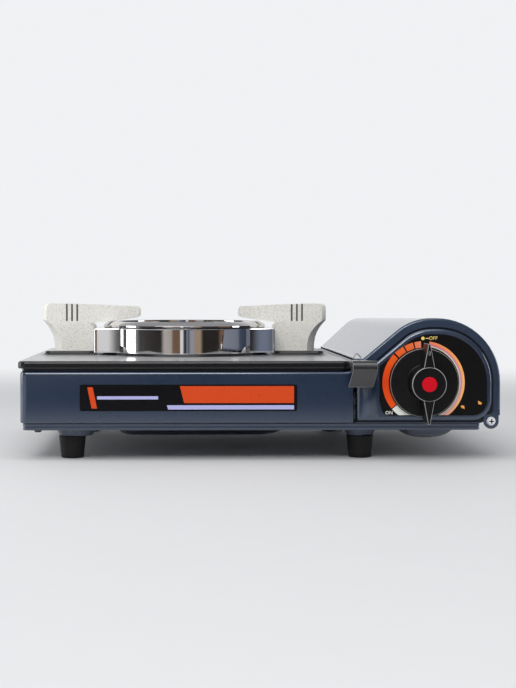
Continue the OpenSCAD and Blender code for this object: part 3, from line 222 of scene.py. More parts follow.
def corner_arc(before: Vector, corner: Corner, after: Vector, inset: float, steps: int) -> list[Point]:
    """Rounds one corner of an outline that is moved to its left by inset.

    Args:
        before: The point before the corner.
        corner: The corner itself.
        after: The point after the corner.
        inset: How far the outline is moved to its left.
        steps: Number of stretches in the arc.

    Returns:
        The points of the arc.
    """
    d1 = (corner.at - before).normalized()
    d2 = (after - corner.at).normalized()
    n1 = Vector((-d1.y, d1.x))
    n2 = Vector((-d2.y, d2.x))
    side = 1.0 if d1.x * d2.y - d1.y * d2.x >= 0 else -1.0
    turn = math.acos(max(-1.0, min(1.0, d1.dot(d2))))
    tip = corner.at + (n1 + n2) * (inset / (1 + n1.dot(n2)))
    radius = max(0.05, corner.r - side * inset)
    start = tip - d1 * radius * math.tan(turn / 2)
    middle = start + n1 * (side * radius)
    arm = start - middle
    return [
        (
            middle.x + arm.x * math.cos(a) - arm.y * math.sin(a),
            middle.y + arm.x * math.sin(a) + arm.y * math.cos(a),
        )
        for a in (side * turn * k / steps for k in range(steps + 1))
    ]


def closed_outline(corners: Sequence[Corner], inset: float = 0.0, steps: int = 10) -> list[Point]:
    """A closed outline through rounded corners, anticlockwise.

    Args:
        corners: The corners in order.
        inset: How far the outline is moved inward.
        steps: Number of stretches in each arc.

    Returns:
        The points of the outline.
    """
    points: list[Point] = []
    for i, corner in enumerate(corners):
        after = corners[(i + 1) % len(corners)].at
        points += corner_arc(corners[i - 1].at, corner, after, inset, steps)
    return points


def open_outline(corners: Sequence[Corner], inset: float = 0.0, steps: int = 12) -> list[Point]:
    """An open outline through rounded corners.

    Args:
        corners: The corners in order; the first and the last are its ends.
        inset: How far the outline is moved to its left.
        steps: Number of stretches in each arc.

    Returns:
        The points of the outline.
    """
    first = (corners[1].at - corners[0].at).normalized()
    last = (corners[-1].at - corners[-2].at).normalized()
    start = corners[0].at + Vector((-first.y, first.x)) * inset
    end = corners[-1].at + Vector((-last.y, last.x)) * inset
    points: list[Point] = [(start.x, start.y)]
    for i in range(1, len(corners) - 1):
        points += corner_arc(corners[i - 1].at, corners[i], corners[i + 1].at, inset, steps)
    points.append((end.x, end.y))
    return points


def rectangle(x0: float, y0: float, x1: float, y1: float, r: float) -> list[Corner]:
    """The four rounded corners of a rectangle, anticlockwise."""
    return [Corner(x0, y0, r), Corner(x1, y0, r), Corner(x1, y1, r), Corner(x0, y1, r)]


def full_turn(steps: int) -> list[float]:
    """Even steps over a full turn, in radians."""
    return [2 * math.pi * k / steps for k in range(steps)]


def ellipse(x: float, y: float, wide: float, tall: float, steps: int) -> list[Point]:
    """Points of an ellipse round a centre, from its half width and half height."""
    return [(x + wide * math.cos(a), y + tall * math.sin(a)) for a in full_turn(steps)]


def quarter(radius: float, steps: int = 5) -> list[Point]:
    """Points (in, out) of a quarter round, from (radius, 0) to (0, radius)."""
    angles = [math.pi / 2 * k / steps for k in range(steps + 1)]
    return [(radius * (1 - math.sin(a)), radius * (1 - math.cos(a))) for a in angles]


def level(points: Sequence[Point], z: float) -> Ring:
    """The points as a ring at height z."""
    return [Vector((x, y, z)) for x, y in points]


def upright(points: Sequence[Point], y: float) -> Ring:
    """The points, drawn in X and Z, as a ring at depth y."""
    return [Vector((x, y, z)) for x, z in points]


def spun(profile: Sequence[Point], centre: Vector, axis: Axis, steps: int = 96) -> list[Ring]:
    """Rings of a profile turned about an axis.

    Args:
        profile: Points (radius, place along the axis).
        centre: A point on the axis; its place along the axis is left out.
        axis: The axis.
        steps: Number of points in each ring.

    Returns:
        One ring for each point of the profile.
    """
    if axis is Axis.HEIGHT:
        return [level(ellipse(centre.x, centre.y, r, r, steps), place) for r, place in profile]
    return [upright(ellipse(centre.x, centre.z, r, r, steps), place) for r, place in profile]


def swept(
    corners: Sequence[Corner], profile: Sequence[Point], steps: int = 8, closed: bool = True
) -> list[Ring]:
    """Rings of a profile of points (inset, height) carried along an outline in plan."""
    outline = closed_outline if closed else open_outline
    return [level(outline(corners, inset, steps), z) for inset, z in profile]


# ---- Meshes ---------------------------------------------------------------------------------


def placed(name: str, data: bpy.types.ID) -> bpy.types.Object:
    """Adds an object to the scene.

    Args:
        name: The object's name.
        data: Its mesh, curve, light or camera.

    Returns:
        The new object.
    """
    thing = bpy.data.objects.new(name, data)
    bpy.context.scene.collection.objects.link(thing)
    return thing


@contextmanager
def editing(mesh: bpy.types.Mesh) -> Iterator[bmesh.types.BMesh]:
    """Opens a mesh for editing and writes it back at the end of the block.

    Args:
        mesh: The mesh.

    Yields:
        The mesh in its editable form.
    """
    draft = bmesh.new()
    draft.from_mesh(mesh)
    yield draft
    draft.to_mesh(mesh)
    draft.free()


def smooth(mesh: bpy.types.Mesh, angle: float) -> None:
    """Shades a mesh smooth but for edges that turn by more than angle degrees."""
    mesh.shade_smooth()
    mesh.set_sharp_from_angle(angle=math.radians(angle))


class Draft:
    """Collects rows of points and joins them into one mesh object."""

    def __init__(self, name: str) -> None:
        """Starts an empty draft.

        Args:
            name: The piece's name.
        """
        self.name = name
        self.points: list[Vector] = []
        self.faces: list[list[int]] = []
        self.slots: list[int] = []

    def ring(self, points: Sequence[Vector]) -> list[int]:
        """Adds a row of points.

        Args:
            points: The points in order.

        Returns:
            The points' numbers.
        """
        first = len(self.points)
        self.points += [Vector(p) for p in points]
        return list(range(first, len(self.points)))

    def face(self, ids: Sequence[int], slot: int = 0) -> None:
        """Adds one face through numbered points, in a material slot."""
        self.faces.append(list(ids))
        self.slots.append(slot)

    def patch(self, points: Sequence[Vector]) -> Draft:
        """Adds one flat face through new points and returns the same draft."""
        self.face(self.ring(points))
        return self

    def bridge(self, a: Sequence[int], b: Sequence[int], closed: bool = True, slot: int = 0) -> None:
        """Joins two rows of equal length with quads.

        Args:
            a: Numbers of the first row's points.
            b: Numbers of the second row's points.
            closed: Whether the last points are joined to the first.
            slot: Material slot of the quads.
        """
        n = len(a)
        for i in range(n if closed else n - 1):
            j = (i + 1) % n
            self.face((a[i], a[j], b[j], b[i]), slot)

    def loft(
        self,
        rings: Sequence[Sequence[Vector]],
        closed: bool = True,
        caps: tuple[bool, bool] = (False, False),
        slots: Sequence[int] | None = None,
    ) -> Draft:
        """Joins several rows in order.

        Args:
            rings: The rows of points.
            closed: Whether each row is a closed ring.
            caps: Whether the first and the last row are filled with a face.
            slots: Material slot of each band between two rows.

        Returns:
            The same draft.
        """
        rows = [self.ring(r) for r in rings]
        slots = slots or [0] * (len(rows) - 1)
        for before, after, slot in zip(rows, rows[1:], slots):
            self.bridge(before, after, closed, slot)
        if caps[0]:
            self.face(rows[0][::-1], slots[0])
        if caps[1]:
            self.face(rows[-1], slots[-1])
        return self

    def build(self, smooth_to: float = 35.0, outward: bool = True) -> Piece:
        """Makes the mesh object, in metres.

        Args:
            smooth_to: Edges that turn by more than this many degrees stay sharp.
            outward: Whether the faces are turned to point outward.

        Returns:
            The new object.
        """
        mesh = bpy.data.meshes.new(self.name)
        mesh.from_pydata([p * MM for p in self.points], [], self.faces)
        for polygon, slot in zip(mesh.polygons, self.slots):
            polygon.material_index = slot
        with editing(mesh) as draft:
            bmesh.ops.remove_doubles(draft, verts=draft.verts, dist=WELD)
            if outward:
                bmesh.ops.recalc_face_normals(draft, faces=draft.faces)
        smooth(mesh, smooth_to)
        return placed(self.name, mesh)


def thicken(piece: Piece, sheet: float) -> Piece:
    """Gives a surface the thickness of its sheet, half to each side, with sharp cut edges.

    Args:
        piece: The piece.
        sheet: Thickness of the sheet.

    Returns:
        The same piece.
    """
    mesh = piece.data
    uses = Counter(key for polygon in mesh.polygons for key in polygon.edge_keys)
    for edge in mesh.edges:
        if uses[edge.key] == 1:
            edge.use_edge_sharp = True
    solid = piece.modifiers.new("sheet", "SOLIDIFY")
    solid.thickness = sheet * MM
    solid.offset = 0.0
    return piece


def round_edges(piece: Piece, width: float, angle: float = 35.0, slot: int = -1) -> Piece:
    """Rounds the sharp edges of a piece.

    Args:
        piece: The piece.
        width: Width of the rounding.
        angle: Edges that turn by more than this many degrees are rounded.
        slot: Material slot of the rounding, or -1 for that of its neighbours.

    Returns:
        The same piece.
    """
    bevel = piece.modifiers.new("edges", "BEVEL")
    bevel.width = width * MM
    bevel.segments = 2
    bevel.limit_method = "ANGLE"
    bevel.angle_limit = math.radians(angle)
    bevel.harden_normals = True
    bevel.material = slot
    return piece


def softened(node: str, width: float, angle: float = 35.0) -> Piece:
    """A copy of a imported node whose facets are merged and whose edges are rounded.

    Args:
        node: The node's name.
        width: Width of the rounding.
        angle: Edges that turn by more than this many degrees are rounded.

    Returns:
        The new piece, which stands for the node.
    """
    mesh = STATE.nodes[node].data.copy()
    mesh.name = f"{node}_detailed"
    mesh.materials.clear()
    with editing(mesh) as draft:
        bmesh.ops.remove_doubles(draft, verts=draft.verts, dist=NODE_WELD)
        bmesh.ops.dissolve_limit(draft, angle_limit=SAME_PLANE, verts=draft.verts, edges=draft.edges)
    smooth(mesh, angle)
    piece = placed(f"{node}_detailed", mesh)
    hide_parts(node)
    return round_edges(piece, width, angle)


# ---- Finishes -------------------------------------------------------------------------------


class Tree:
    """Short calls for building the nodes of a material or a world."""

    glow_kind = "Emission"

    def __init__(self, tree: bpy.types.NodeTree) -> None:
        """Takes over a node tree and empties it."""
        self.tree = tree
        self.tree.nodes.clear()

    def add(
        self, kind: str, inputs: dict[str | int, object] | None = None, **values: object
    ) -> bpy.types.Node:
        """Adds a node.

        Args:
            kind: Blender's name of the node's type, without its "ShaderNode".
            inputs: The node's inputs, by name or number, each with a value or another's output.
            values: The node's own attributes.

        Returns:
            The new node.
        """
        node = self.tree.nodes.new(f"ShaderNode{kind}")
        for key, value in values.items():
            setattr(node, key, value)
        self.feed(node, inputs or {})
        return node

    def feed(self, node: bpy.types.Node, inputs: dict[str | int, object]) -> None:
        """Fills a node's inputs.

        Args:
            node: The node.
            inputs: Its inputs, by name or number, each with a value or another node's output.
        """
        for key, value in inputs.items():
            if isinstance(value, Socket):
                self.tree.links.new(value, node.inputs[key])
            else:
                node.inputs[key].default_value = value

    def calc(self, operation: str, a: object, b: object = 0.0) -> Socket:
        """The result of a math operation on two values or sockets."""
        return self.add("Math", {0: a, 1: b}, operation=operation).outputs[0]

    def place(self) -> Socket:
        """The place on the piece, in metres."""
        return self.add("TexCoord").outputs["Object"]

    def parts(self, vector: Socket) -> bpy.types.NodeOutputs:
        """The X, Y and Z of a vector."""
        return self.add("SeparateXYZ", {0: vector}).outputs

    def share_of_turn(self, a: object, b: object) -> Socket:
        """The angle whose tangent is a / b as a share of a full turn, from 0 to 1."""
        angle = self.calc("ARCTAN2", a, b)
        return self.calc("ADD", self.calc("DIVIDE", angle, 2 * math.pi), 0.5)

    def mix(self, share: Socket, a: Socket, b: Socket) -> Socket:
        """Mixes two shaders by a share of the second."""
        return self.add("MixShader", {0: share, 1: a, 2: b}).outputs[0]

    def glow(self, colour: Colour | Socket, strength: float = 1.0) -> Socket:
        """A shader that gives light of a colour, which may come from a socket."""
        colour = colour if isinstance(colour, Socket) else (*colour, 1)
        return self.add(self.glow_kind, {"Color": colour, "Strength": strength}).outputs[0]

    def noise(
        self, per_metre: float, detail: float = 3.0, stretch: tuple[float, float, float] = (1, 1, 1)
    ) -> Socket:
        """Adds noise over the piece.

        Args:
            per_metre: How many cells a metre holds.
            detail: Number of finer layers.
            stretch: How much denser the cells are along X, Y and Z.

        Returns:
            The noise value.
        """
        place = self.add("Mapping", {"Scale": stretch, "Vector": self.place()}).outputs[0]
        texture = self.add("TexNoise", {"Scale": per_metre, "Detail": detail, "Vector": place})
        return texture.outputs["Fac"]

    def ramp(self, value: Socket, stops: Stops) -> Socket:
        """Turns a value into a colour.

        Args:
            value: The value.
            stops: Places between 0 and 1 with their colours, in order.

        Returns:
            The colour.
        """
        node = self.add("ValToRGB", {0: value})
        elements = node.color_ramp.elements
        while len(elements) < len(stops):
            elements.new(1.0)
        for element, (place, colour) in zip(elements, stops):
            element.position = place
            element.color = (*colour, 1)
        return node.outputs[0]

    def ranged(self, value: Socket, source: Point, target: Point = (0.0, 1.0), ease: bool = False) -> Socket:
        """Maps a value from one range to another.

        Args:
            value: The value.
            source: The range that it comes from.
            target: The range that it is mapped to.
            ease: Whether it starts and ends gently.

        Returns:
            The new value.
        """
        limits = dict(zip(("From Min", "From Max", "To Min", "To Max"), (*source, *target)))
        kind = "SMOOTHSTEP" if ease else "LINEAR"
        return self.add("MapRange", {"Value": value, **limits}, interpolation_type=kind).outputs[0]


class Graph(Tree):
    """The nodes of one material, with its shader and its output in place."""

    def __init__(self, name: str) -> None:
        """Starts a material.

        Args:
            name: The material's name.
        """
        self.material = bpy.data.materials.new(name)
        self.material.use_nodes = True
        super().__init__(self.material.node_tree)
        self.shader = self.add("BsdfPrincipled")
        self.output = self.add("OutputMaterial", {"Surface": self.shader.outputs[0]})

    def blend(self, amount: Socket, a: Colour, b: Colour, span: Point = (0.3, 0.7)) -> None:
        """Makes the base colour a blend from a to b as a value rises across a span."""
        self.feed(self.shader, {"Base Color": self.ramp(amount, ((span[0], a), (span[1], b)))})

    def bump(self, height: Socket, depth: float) -> None:
        """Adds a bump; later calls stack on earlier ones.

        Args:
            height: The height as a value from 0 to 1.
            depth: What 1 stands for, in millimetres.
        """
        node = self.add("Bump", {"Strength": 1.0, "Distance": depth * MM, "Height": height})
        normal = self.shader.inputs["Normal"]
        if normal.is_linked:
            self.feed(node, {"Normal": normal.links[0].from_socket})
        self.feed(self.shader, {"Normal": node.outputs[0]})


class WorldGraph(Tree):
    """The nodes of the scene's world."""

    glow_kind = "Background"

    def __init__(self, name: str) -> None:
        """Starts a world and gives it to the scene.

        Args:
            name: The world's name.
        """
        world = bpy.data.worlds.new(name)
        bpy.context.scene.world = world
        world.use_nodes = True
        super().__init__(world.node_tree)


MATERIALS: dict[str, bpy.types.Material] = {}
NOISE_SPAN = (0.25, 0.75)
SHEEN_ROUGHNESS = 0.35
SMOOTHEST = 0.02


def shade(colour: Colour, factor: float) -> Colour:
    """The colour made lighter or darker."""
    return tuple(min(1.0, c * factor) for c in colour)


@dataclass(frozen=True)
class Finish:
    """A surface finish: colour, gloss and a fine grain.

    The grain varies colour and height with the same cells, and larger clouds vary the gloss.
    """

    name: str
    slot: str
    colour: Colour
    roughness: float
    metallic: float = 0.0
    coat: float = 0.0
    coat_roughness: float = 0.08
    grain: float = 900.0
    grain_depth: float = 0.01
    tint: float = 0.12
    rough_spread: float = 0.06
    wave: float = 0.0
    wave_depth: float = 0.0
    stretch: tuple[float, float, float] = (1.0, 1.0, 1.0)
    ior: float = 1.5
    coat_ior: float = 1.5
    sheen: float = 0.0
    cloud: float = 12.0

    def material(self) -> bpy.types.Material:
        """The finish as a material, made once.

        Returns:
            The material.
        """
        if self.name not in MATERIALS:
            graph = Graph(f"finish_{self.name}")
            graph.feed(graph.shader, {
                "Metallic": self.metallic, "IOR": self.ior, "Coat IOR": self.coat_ior,
                "Coat Weight": self.coat, "Coat Roughness": self.coat_roughness,
                "Sheen Weight": self.sheen, "Sheen Roughness": SHEEN_ROUGHNESS,
            })
            self.paint(graph)
            MATERIALS[self.name] = graph.material
        return MATERIALS[self.name]

    def paint(self, graph: Graph) -> None:
        """Adds the nodes for colour, gloss and height.

        Args:
            graph: The material's nodes.
        """
        grain = graph.noise(self.grain, 3.0, self.stretch)
        graph.blend(grain, shade(self.colour, 1 - self.tint), shade(self.colour, 1 + self.tint))
        self.cloud_gloss(graph)
        if self.wave:
            graph.bump(graph.noise(self.wave, 1.0, self.stretch), self.wave_depth)
        if self.grain_depth:
            graph.bump(grain, self.grain_depth)

    def cloud_gloss(self, graph: Graph) -> None:
        """Lets the roughness drift in soft clouds.

        Args:
            graph: The material's nodes.
        """
        cloud = graph.noise(self.grain / self.cloud, 2.0, self.stretch)
        span = (max(SMOOTHEST, self.roughness - self.rough_spread), self.roughness + self.rough_spread)
        graph.feed(graph.shader, {"Roughness": graph.ranged(cloud, NOISE_SPAN, span)})


@dataclass(frozen=True)
class SpeckledFinish(Finish):
    """A finish with sparse darker specks, as on a rough casting."""

    cloud: float = 8.0
    speck: float = 1400.0
    speck_colour: Colour = (0.3, 0.3, 0.3)

    def paint(self, graph: Graph) -> None:
        """Adds the nodes for specks, gloss and height.

        Args:
            graph: The material's nodes.
        """
        specks = graph.noise(self.speck, 5.0)
        graph.blend(specks, self.speck_colour, self.colour, (0.3, 0.46))
        self.cloud_gloss(graph)
        graph.bump(graph.noise(self.grain, 4.0), self.grain_depth)
        graph.bump(specks, self.grain_depth)


@dataclass(frozen=True)
class SweepPrint(Finish):
    """A printed foil whose colour changes with the angle round a centre in X and Z."""

    centre: Point = (0.0, 0.0)
    stops: Stops = ()

    def paint(self, graph: Graph) -> None:
        """Adds the nodes for the sweep of colours and a fine height.

        Args:
            graph: The material's nodes.
        """
        place = graph.parts(graph.place())
        across = graph.calc("SUBTRACT", place["X"], self.centre[0] * MM)
        up = graph.calc("SUBTRACT", place["Z"], self.centre[1] * MM)
        colour = graph.ramp(graph.share_of_turn(up, across), self.stops)
        graph.feed(graph.shader, {"Base Color": colour, "Roughness": self.roughness})
        graph.bump(graph.noise(self.grain, 2.0), self.grain_depth)


NAVY = Finish(
    "navy_paint", "navy_paint", (0.014, 0.032, 0.070), 0.32, metallic=0.4, coat=1.0,
    coat_roughness=0.09, coat_ior=1.7, grain=2600, grain_depth=0.001, tint=0.18, wave=120,
    wave_depth=0.006,
)
NAVY_TOP = Finish(
    "navy_paint_lid", "navy_paint", (0.018, 0.038, 0.078), 0.3, metallic=0.4, coat=1.0,
    coat_roughness=0.12, grain=2600, grain_depth=0.0, tint=0.1, rough_spread=0.0,
)
# Near black navy: painted shade on the front panel's outer edge and in the hinge screws' cross recess.
PAINTED_SHADE = Finish(
    "shadow_paint", "navy_paint", (0.004, 0.005, 0.008), 0.6, grain=2000, grain_depth=0.003, tint=0.1,
)
ENAMEL = Finish(
    "black_enamel", "black_enamel", (0.004, 0.004, 0.005), 0.2, sheen=0.55, grain=1800,
    grain_depth=0.0, tint=0.2, rough_spread=0.02,
)
CHROME = Finish(
    "chrome", "chrome", (0.80, 0.79, 0.80), 0.045, metallic=1.0, grain=1500, grain_depth=0.0005,
    tint=0.02, rough_spread=0.02, wave=60, wave_depth=0.012, stretch=(1.0, 1.0, 0.25),
)
ALUMINIUM = SpeckledFinish(
    "cast_aluminium", "cast_aluminium", (0.80, 0.78, 0.72), 0.48, metallic=0.06, grain=1100,
    grain_depth=0.05, speck=1500, speck_colour=(0.46, 0.45, 0.41),
)
# Dark cast aluminium: painted shade at the bottom of the supports' grooves.
ALUMINIUM_PAINTED_SHADE = replace(
    ALUMINIUM, name="cast_aluminium_painted_shade", colour=(0.10, 0.096, 0.088), roughness=0.6, metallic=0.0,
    grain_depth=0.04, speck_colour=(0.06, 0.06, 0.055),
)
IRON = SpeckledFinish(
    "dark_iron", "dark_iron", (0.035, 0.032, 0.03), 0.62, metallic=0.3, grain=900,
    grain_depth=0.06, speck=900, speck_colour=(0.015, 0.014, 0.013),
)
STEEL = Finish(
    "bare_steel", "bare_steel", (0.46, 0.47, 0.49), 0.32, metallic=0.9, grain=1600,
    grain_depth=0.006, tint=0.08, rough_spread=0.08, wave=40, wave_depth=0.03,
    stretch=(1.0, 0.15, 1.0),
)
# Near black steel: painted shade for the front frame in the gap behind the panel.
STEEL_PAINTED_SHADE = Finish(
    "steel_painted_shade", "bare_steel", (0.012, 0.013, 0.018), 0.5, metallic=0.3, grain=1600,
    grain_depth=0.006, tint=0.2,
)
ZINC = Finish(
    "zinc_steel", "zinc_steel", (0.62, 0.63, 0.65), 0.22, metallic=0.95, grain=2200,
    grain_depth=0.004, tint=0.06,
)
# Near black zinc: painted shade for the screws under the base.
ZINC_PAINTED_SHADE = replace(
    ZINC, name="zinc_painted_shade", colour=(0.05, 0.052, 0.058), roughness=0.4, metallic=0.6, tint=0.15,
)
SCREW_HEAD = replace(ZINC, name="bright_zinc", colour=(0.86, 0.87, 0.90), roughness=0.42, metallic=0.35)
BRASS = Finish(
    "brass", "brass", (0.60, 0.42, 0.16), 0.26, metallic=1.0, grain=2400, grain_depth=0.004, tint=0.08,
)
RUBBER = Finish(
    "black_rubber", "black_rubber", (0.008, 0.008, 0.008), 0.45, ior=1.3, grain=1300,
    grain_depth=0.02, tint=0.25,
)
PALE_RUBBER = Finish("pale_rubber", "pale_rubber", (0.62, 0.60, 0.52), 0.5, grain=1300)
BLACK_PLASTIC = Finish(
    "black_plastic", "black_plastic", (0.006, 0.006, 0.0065), 0.34, ior=1.24, grain=1700,
    grain_depth=0.012, tint=0.3,
)
# Light grey plastic: painted highlight on the knob's rounded edges, and the own colour of the knob's pale
# mark.
PLASTIC_HIGHLIGHT_AND_MARK = Finish("black_plastic_highlight_and_mark", "black_plastic", (0.27, 0.27, 0.275), 0.34, grain=1700, tint=0.3)
LEVER_PLASTIC = Finish(
    "lever_plastic", "black_plastic", (0.010, 0.010, 0.011), 0.2, coat=1.0, coat_roughness=0.1,
    grain=1700, grain_depth=0.003, tint=0.3,
)
# Lighter plastic for the lock lever flap's rounded edges: painted highlight.
LEVER_PAINTED_HIGHLIGHT = Finish(
    "lever_plastic_painted_highlight", "black_plastic", (0.18, 0.18, 0.19), 0.25, grain=1700, grain_depth=0.004,
    tint=0.2,
)
PALE_PLASTIC = Finish("pale_plastic", "pale_plastic", (0.64, 0.60, 0.50), 0.42, grain=1500)
RED_PLASTIC = Finish(
    "red_plastic", "red_plastic", (0.56, 0.002, 0.012), 0.3, ior=1.24, grain=1500,
    grain_depth=0.006, tint=0.1,
)
CERAMIC = Finish(
    "ceramic", "ceramic", (0.80, 0.77, 0.68), 0.25, coat=0.5, grain=900, grain_depth=0.004, tint=0.04,
)
DIAL = Finish(
    "dial_foil", "dial_foil", (0.005, 0.005, 0.0055), 0.4, ior=1.2, grain=2600, grain_depth=0.006,
    tint=0.3,
)
PRINT_WHITE = Finish(
    "print_white", "dial_foil", (0.80, 0.82, 0.74), 0.45, grain=2600, grain_depth=0.003, tint=0.05,
)
PRINT_AMBER = replace(PRINT_WHITE, name="print_amber", colour=(0.88, 0.36, 0.05))
PRINT_YELLOW = replace(PRINT_WHITE, name="print_yellow", colour=(0.85, 0.62, 0.16))
LABEL_BLACK = Finish(
    "label_black", "label_foil", (0.003, 0.003, 0.0045), 0.3, ior=1.25, grain=2000,
    grain_depth=0.003, tint=0.2,
)
LABEL_ORANGE = replace(
    LABEL_BLACK, name="label_orange", colour=(0.62, 0.06, 0.008), roughness=0.32, ior=1.3, tint=0.08,
)
LABEL_PALE = replace(
    LABEL_BLACK, name="label_pale", colour=(0.42, 0.42, 0.72), roughness=0.32, ior=1.5, coat=0.4,
    tint=0.06,
)

SLOT_FINISHES = {
    finish.slot: finish
    for finish in (
        NAVY, ENAMEL, CHROME, ALUMINIUM, IRON, STEEL, ZINC, BRASS, RUBBER, PALE_RUBBER,
        BLACK_PLASTIC, PALE_PLASTIC, RED_PLASTIC, CERAMIC, DIAL, LABEL_ORANGE,
    )
}


class Foil(Enum):
    """The sweeps of colour on the dial's foils."""

    FLAME = (
        (0.0, (0.80, 0.055, 0.004)), (0.11, (0.84, 0.09, 0.008)), (0.74, (0.88, 0.30, 0.20)),
        (0.80, (0.86, 0.16, 0.04)), (0.88, (0.86, 0.11, 0.01)), (1.0, (0.80, 0.055, 0.004)),
    )
    GREEN = ((0.0, (0.55, 0.66, 0.50)), (1.0, (0.55, 0.66, 0.50)))
    PINK = ((0.30, (0.88, 0.42, 0.44)), (0.50, (0.66, 0.26, 0.40)), (0.73, (0.80, 0.15, 0.20)))
    AMBER = (
        (0.30, (0.90, 0.42, 0.38)), (0.40, (0.92, 0.45, 0.16)), (0.56, (0.92, 0.44, 0.10)),
        (0.73, (0.84, 0.22, 0.10)),
    )

    def finish(self, name: str, centre: Point) -> SweepPrint:
        """The foil's finish, swept round a centre.

        Args:
            name: The finish's name.
            centre: The centre in X and Z.

        Returns:
            The finish.
        """
        return SweepPrint(
            name, "dial_foil", self.value[0][1], 0.45, ior=1.25, grain=2600, grain_depth=0.003,
            centre=centre, stops=self.value,
        )


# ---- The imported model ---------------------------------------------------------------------


@dataclass
class State:
    """The loaded frame, shared by all sub-assemblies."""

    nodes: dict[str, Piece] = field(default_factory=dict)
    record: dict = field(default_factory=dict)

    def load(self) -> None:
        """Loads the frame and keeps its nodes and record."""
        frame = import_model()
        self.nodes = frame["nodes"]
        self.record = frame["record"]

    def finish_of(self, node: str) -> Finish:
        """The plain finish of a node, by its material slot."""
        slots = {part["node"]: part["material_slot"] for part in self.record["subparts"]}
        return SLOT_FINISHES[slots[node]]

    def body_of(self, node: str) -> Body:
        """The body that a node rides on."""
        bodies = self.record["behaviour"]["bodies"].items()
        return next(Body(body) for body, nodes in bodies if node in nodes)


STATE = State()


def dress(piece: Piece, body: Body, *finishes: Finish, nodes: Sequence[str] = ()) -> None:
    """Gives a piece its finishes and its body, and reports it.

    Args:
        piece: The piece.
        body: The body that it rides on.
        finishes: Its finishes, in the order of its material slots.
        nodes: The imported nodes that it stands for.
    """
    for finish in finishes:
        piece.data.materials.append(finish.material())
    if "edges" not in piece.modifiers:
        even = piece.modifiers.new("shading", "WEIGHTED_NORMAL")
        even.keep_sharp = True
    if nodes:
        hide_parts(*nodes)
    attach(piece, body.value)
    LOG.info("%s, in %s, rides on %s", piece.name, finishes[0].name, body.value)


def carry_over(nodes: Sequence[str], width: float, *finishes: Finish) -> None:
    """Makes softened copies of nodes, in the given finishes or in those of their slots."""
    for node in nodes:
        dress(softened(node, width), STATE.body_of(node), *(finishes or (STATE.finish_of(node),)))


# ---- Body and base ------------------------------------------------------------------------


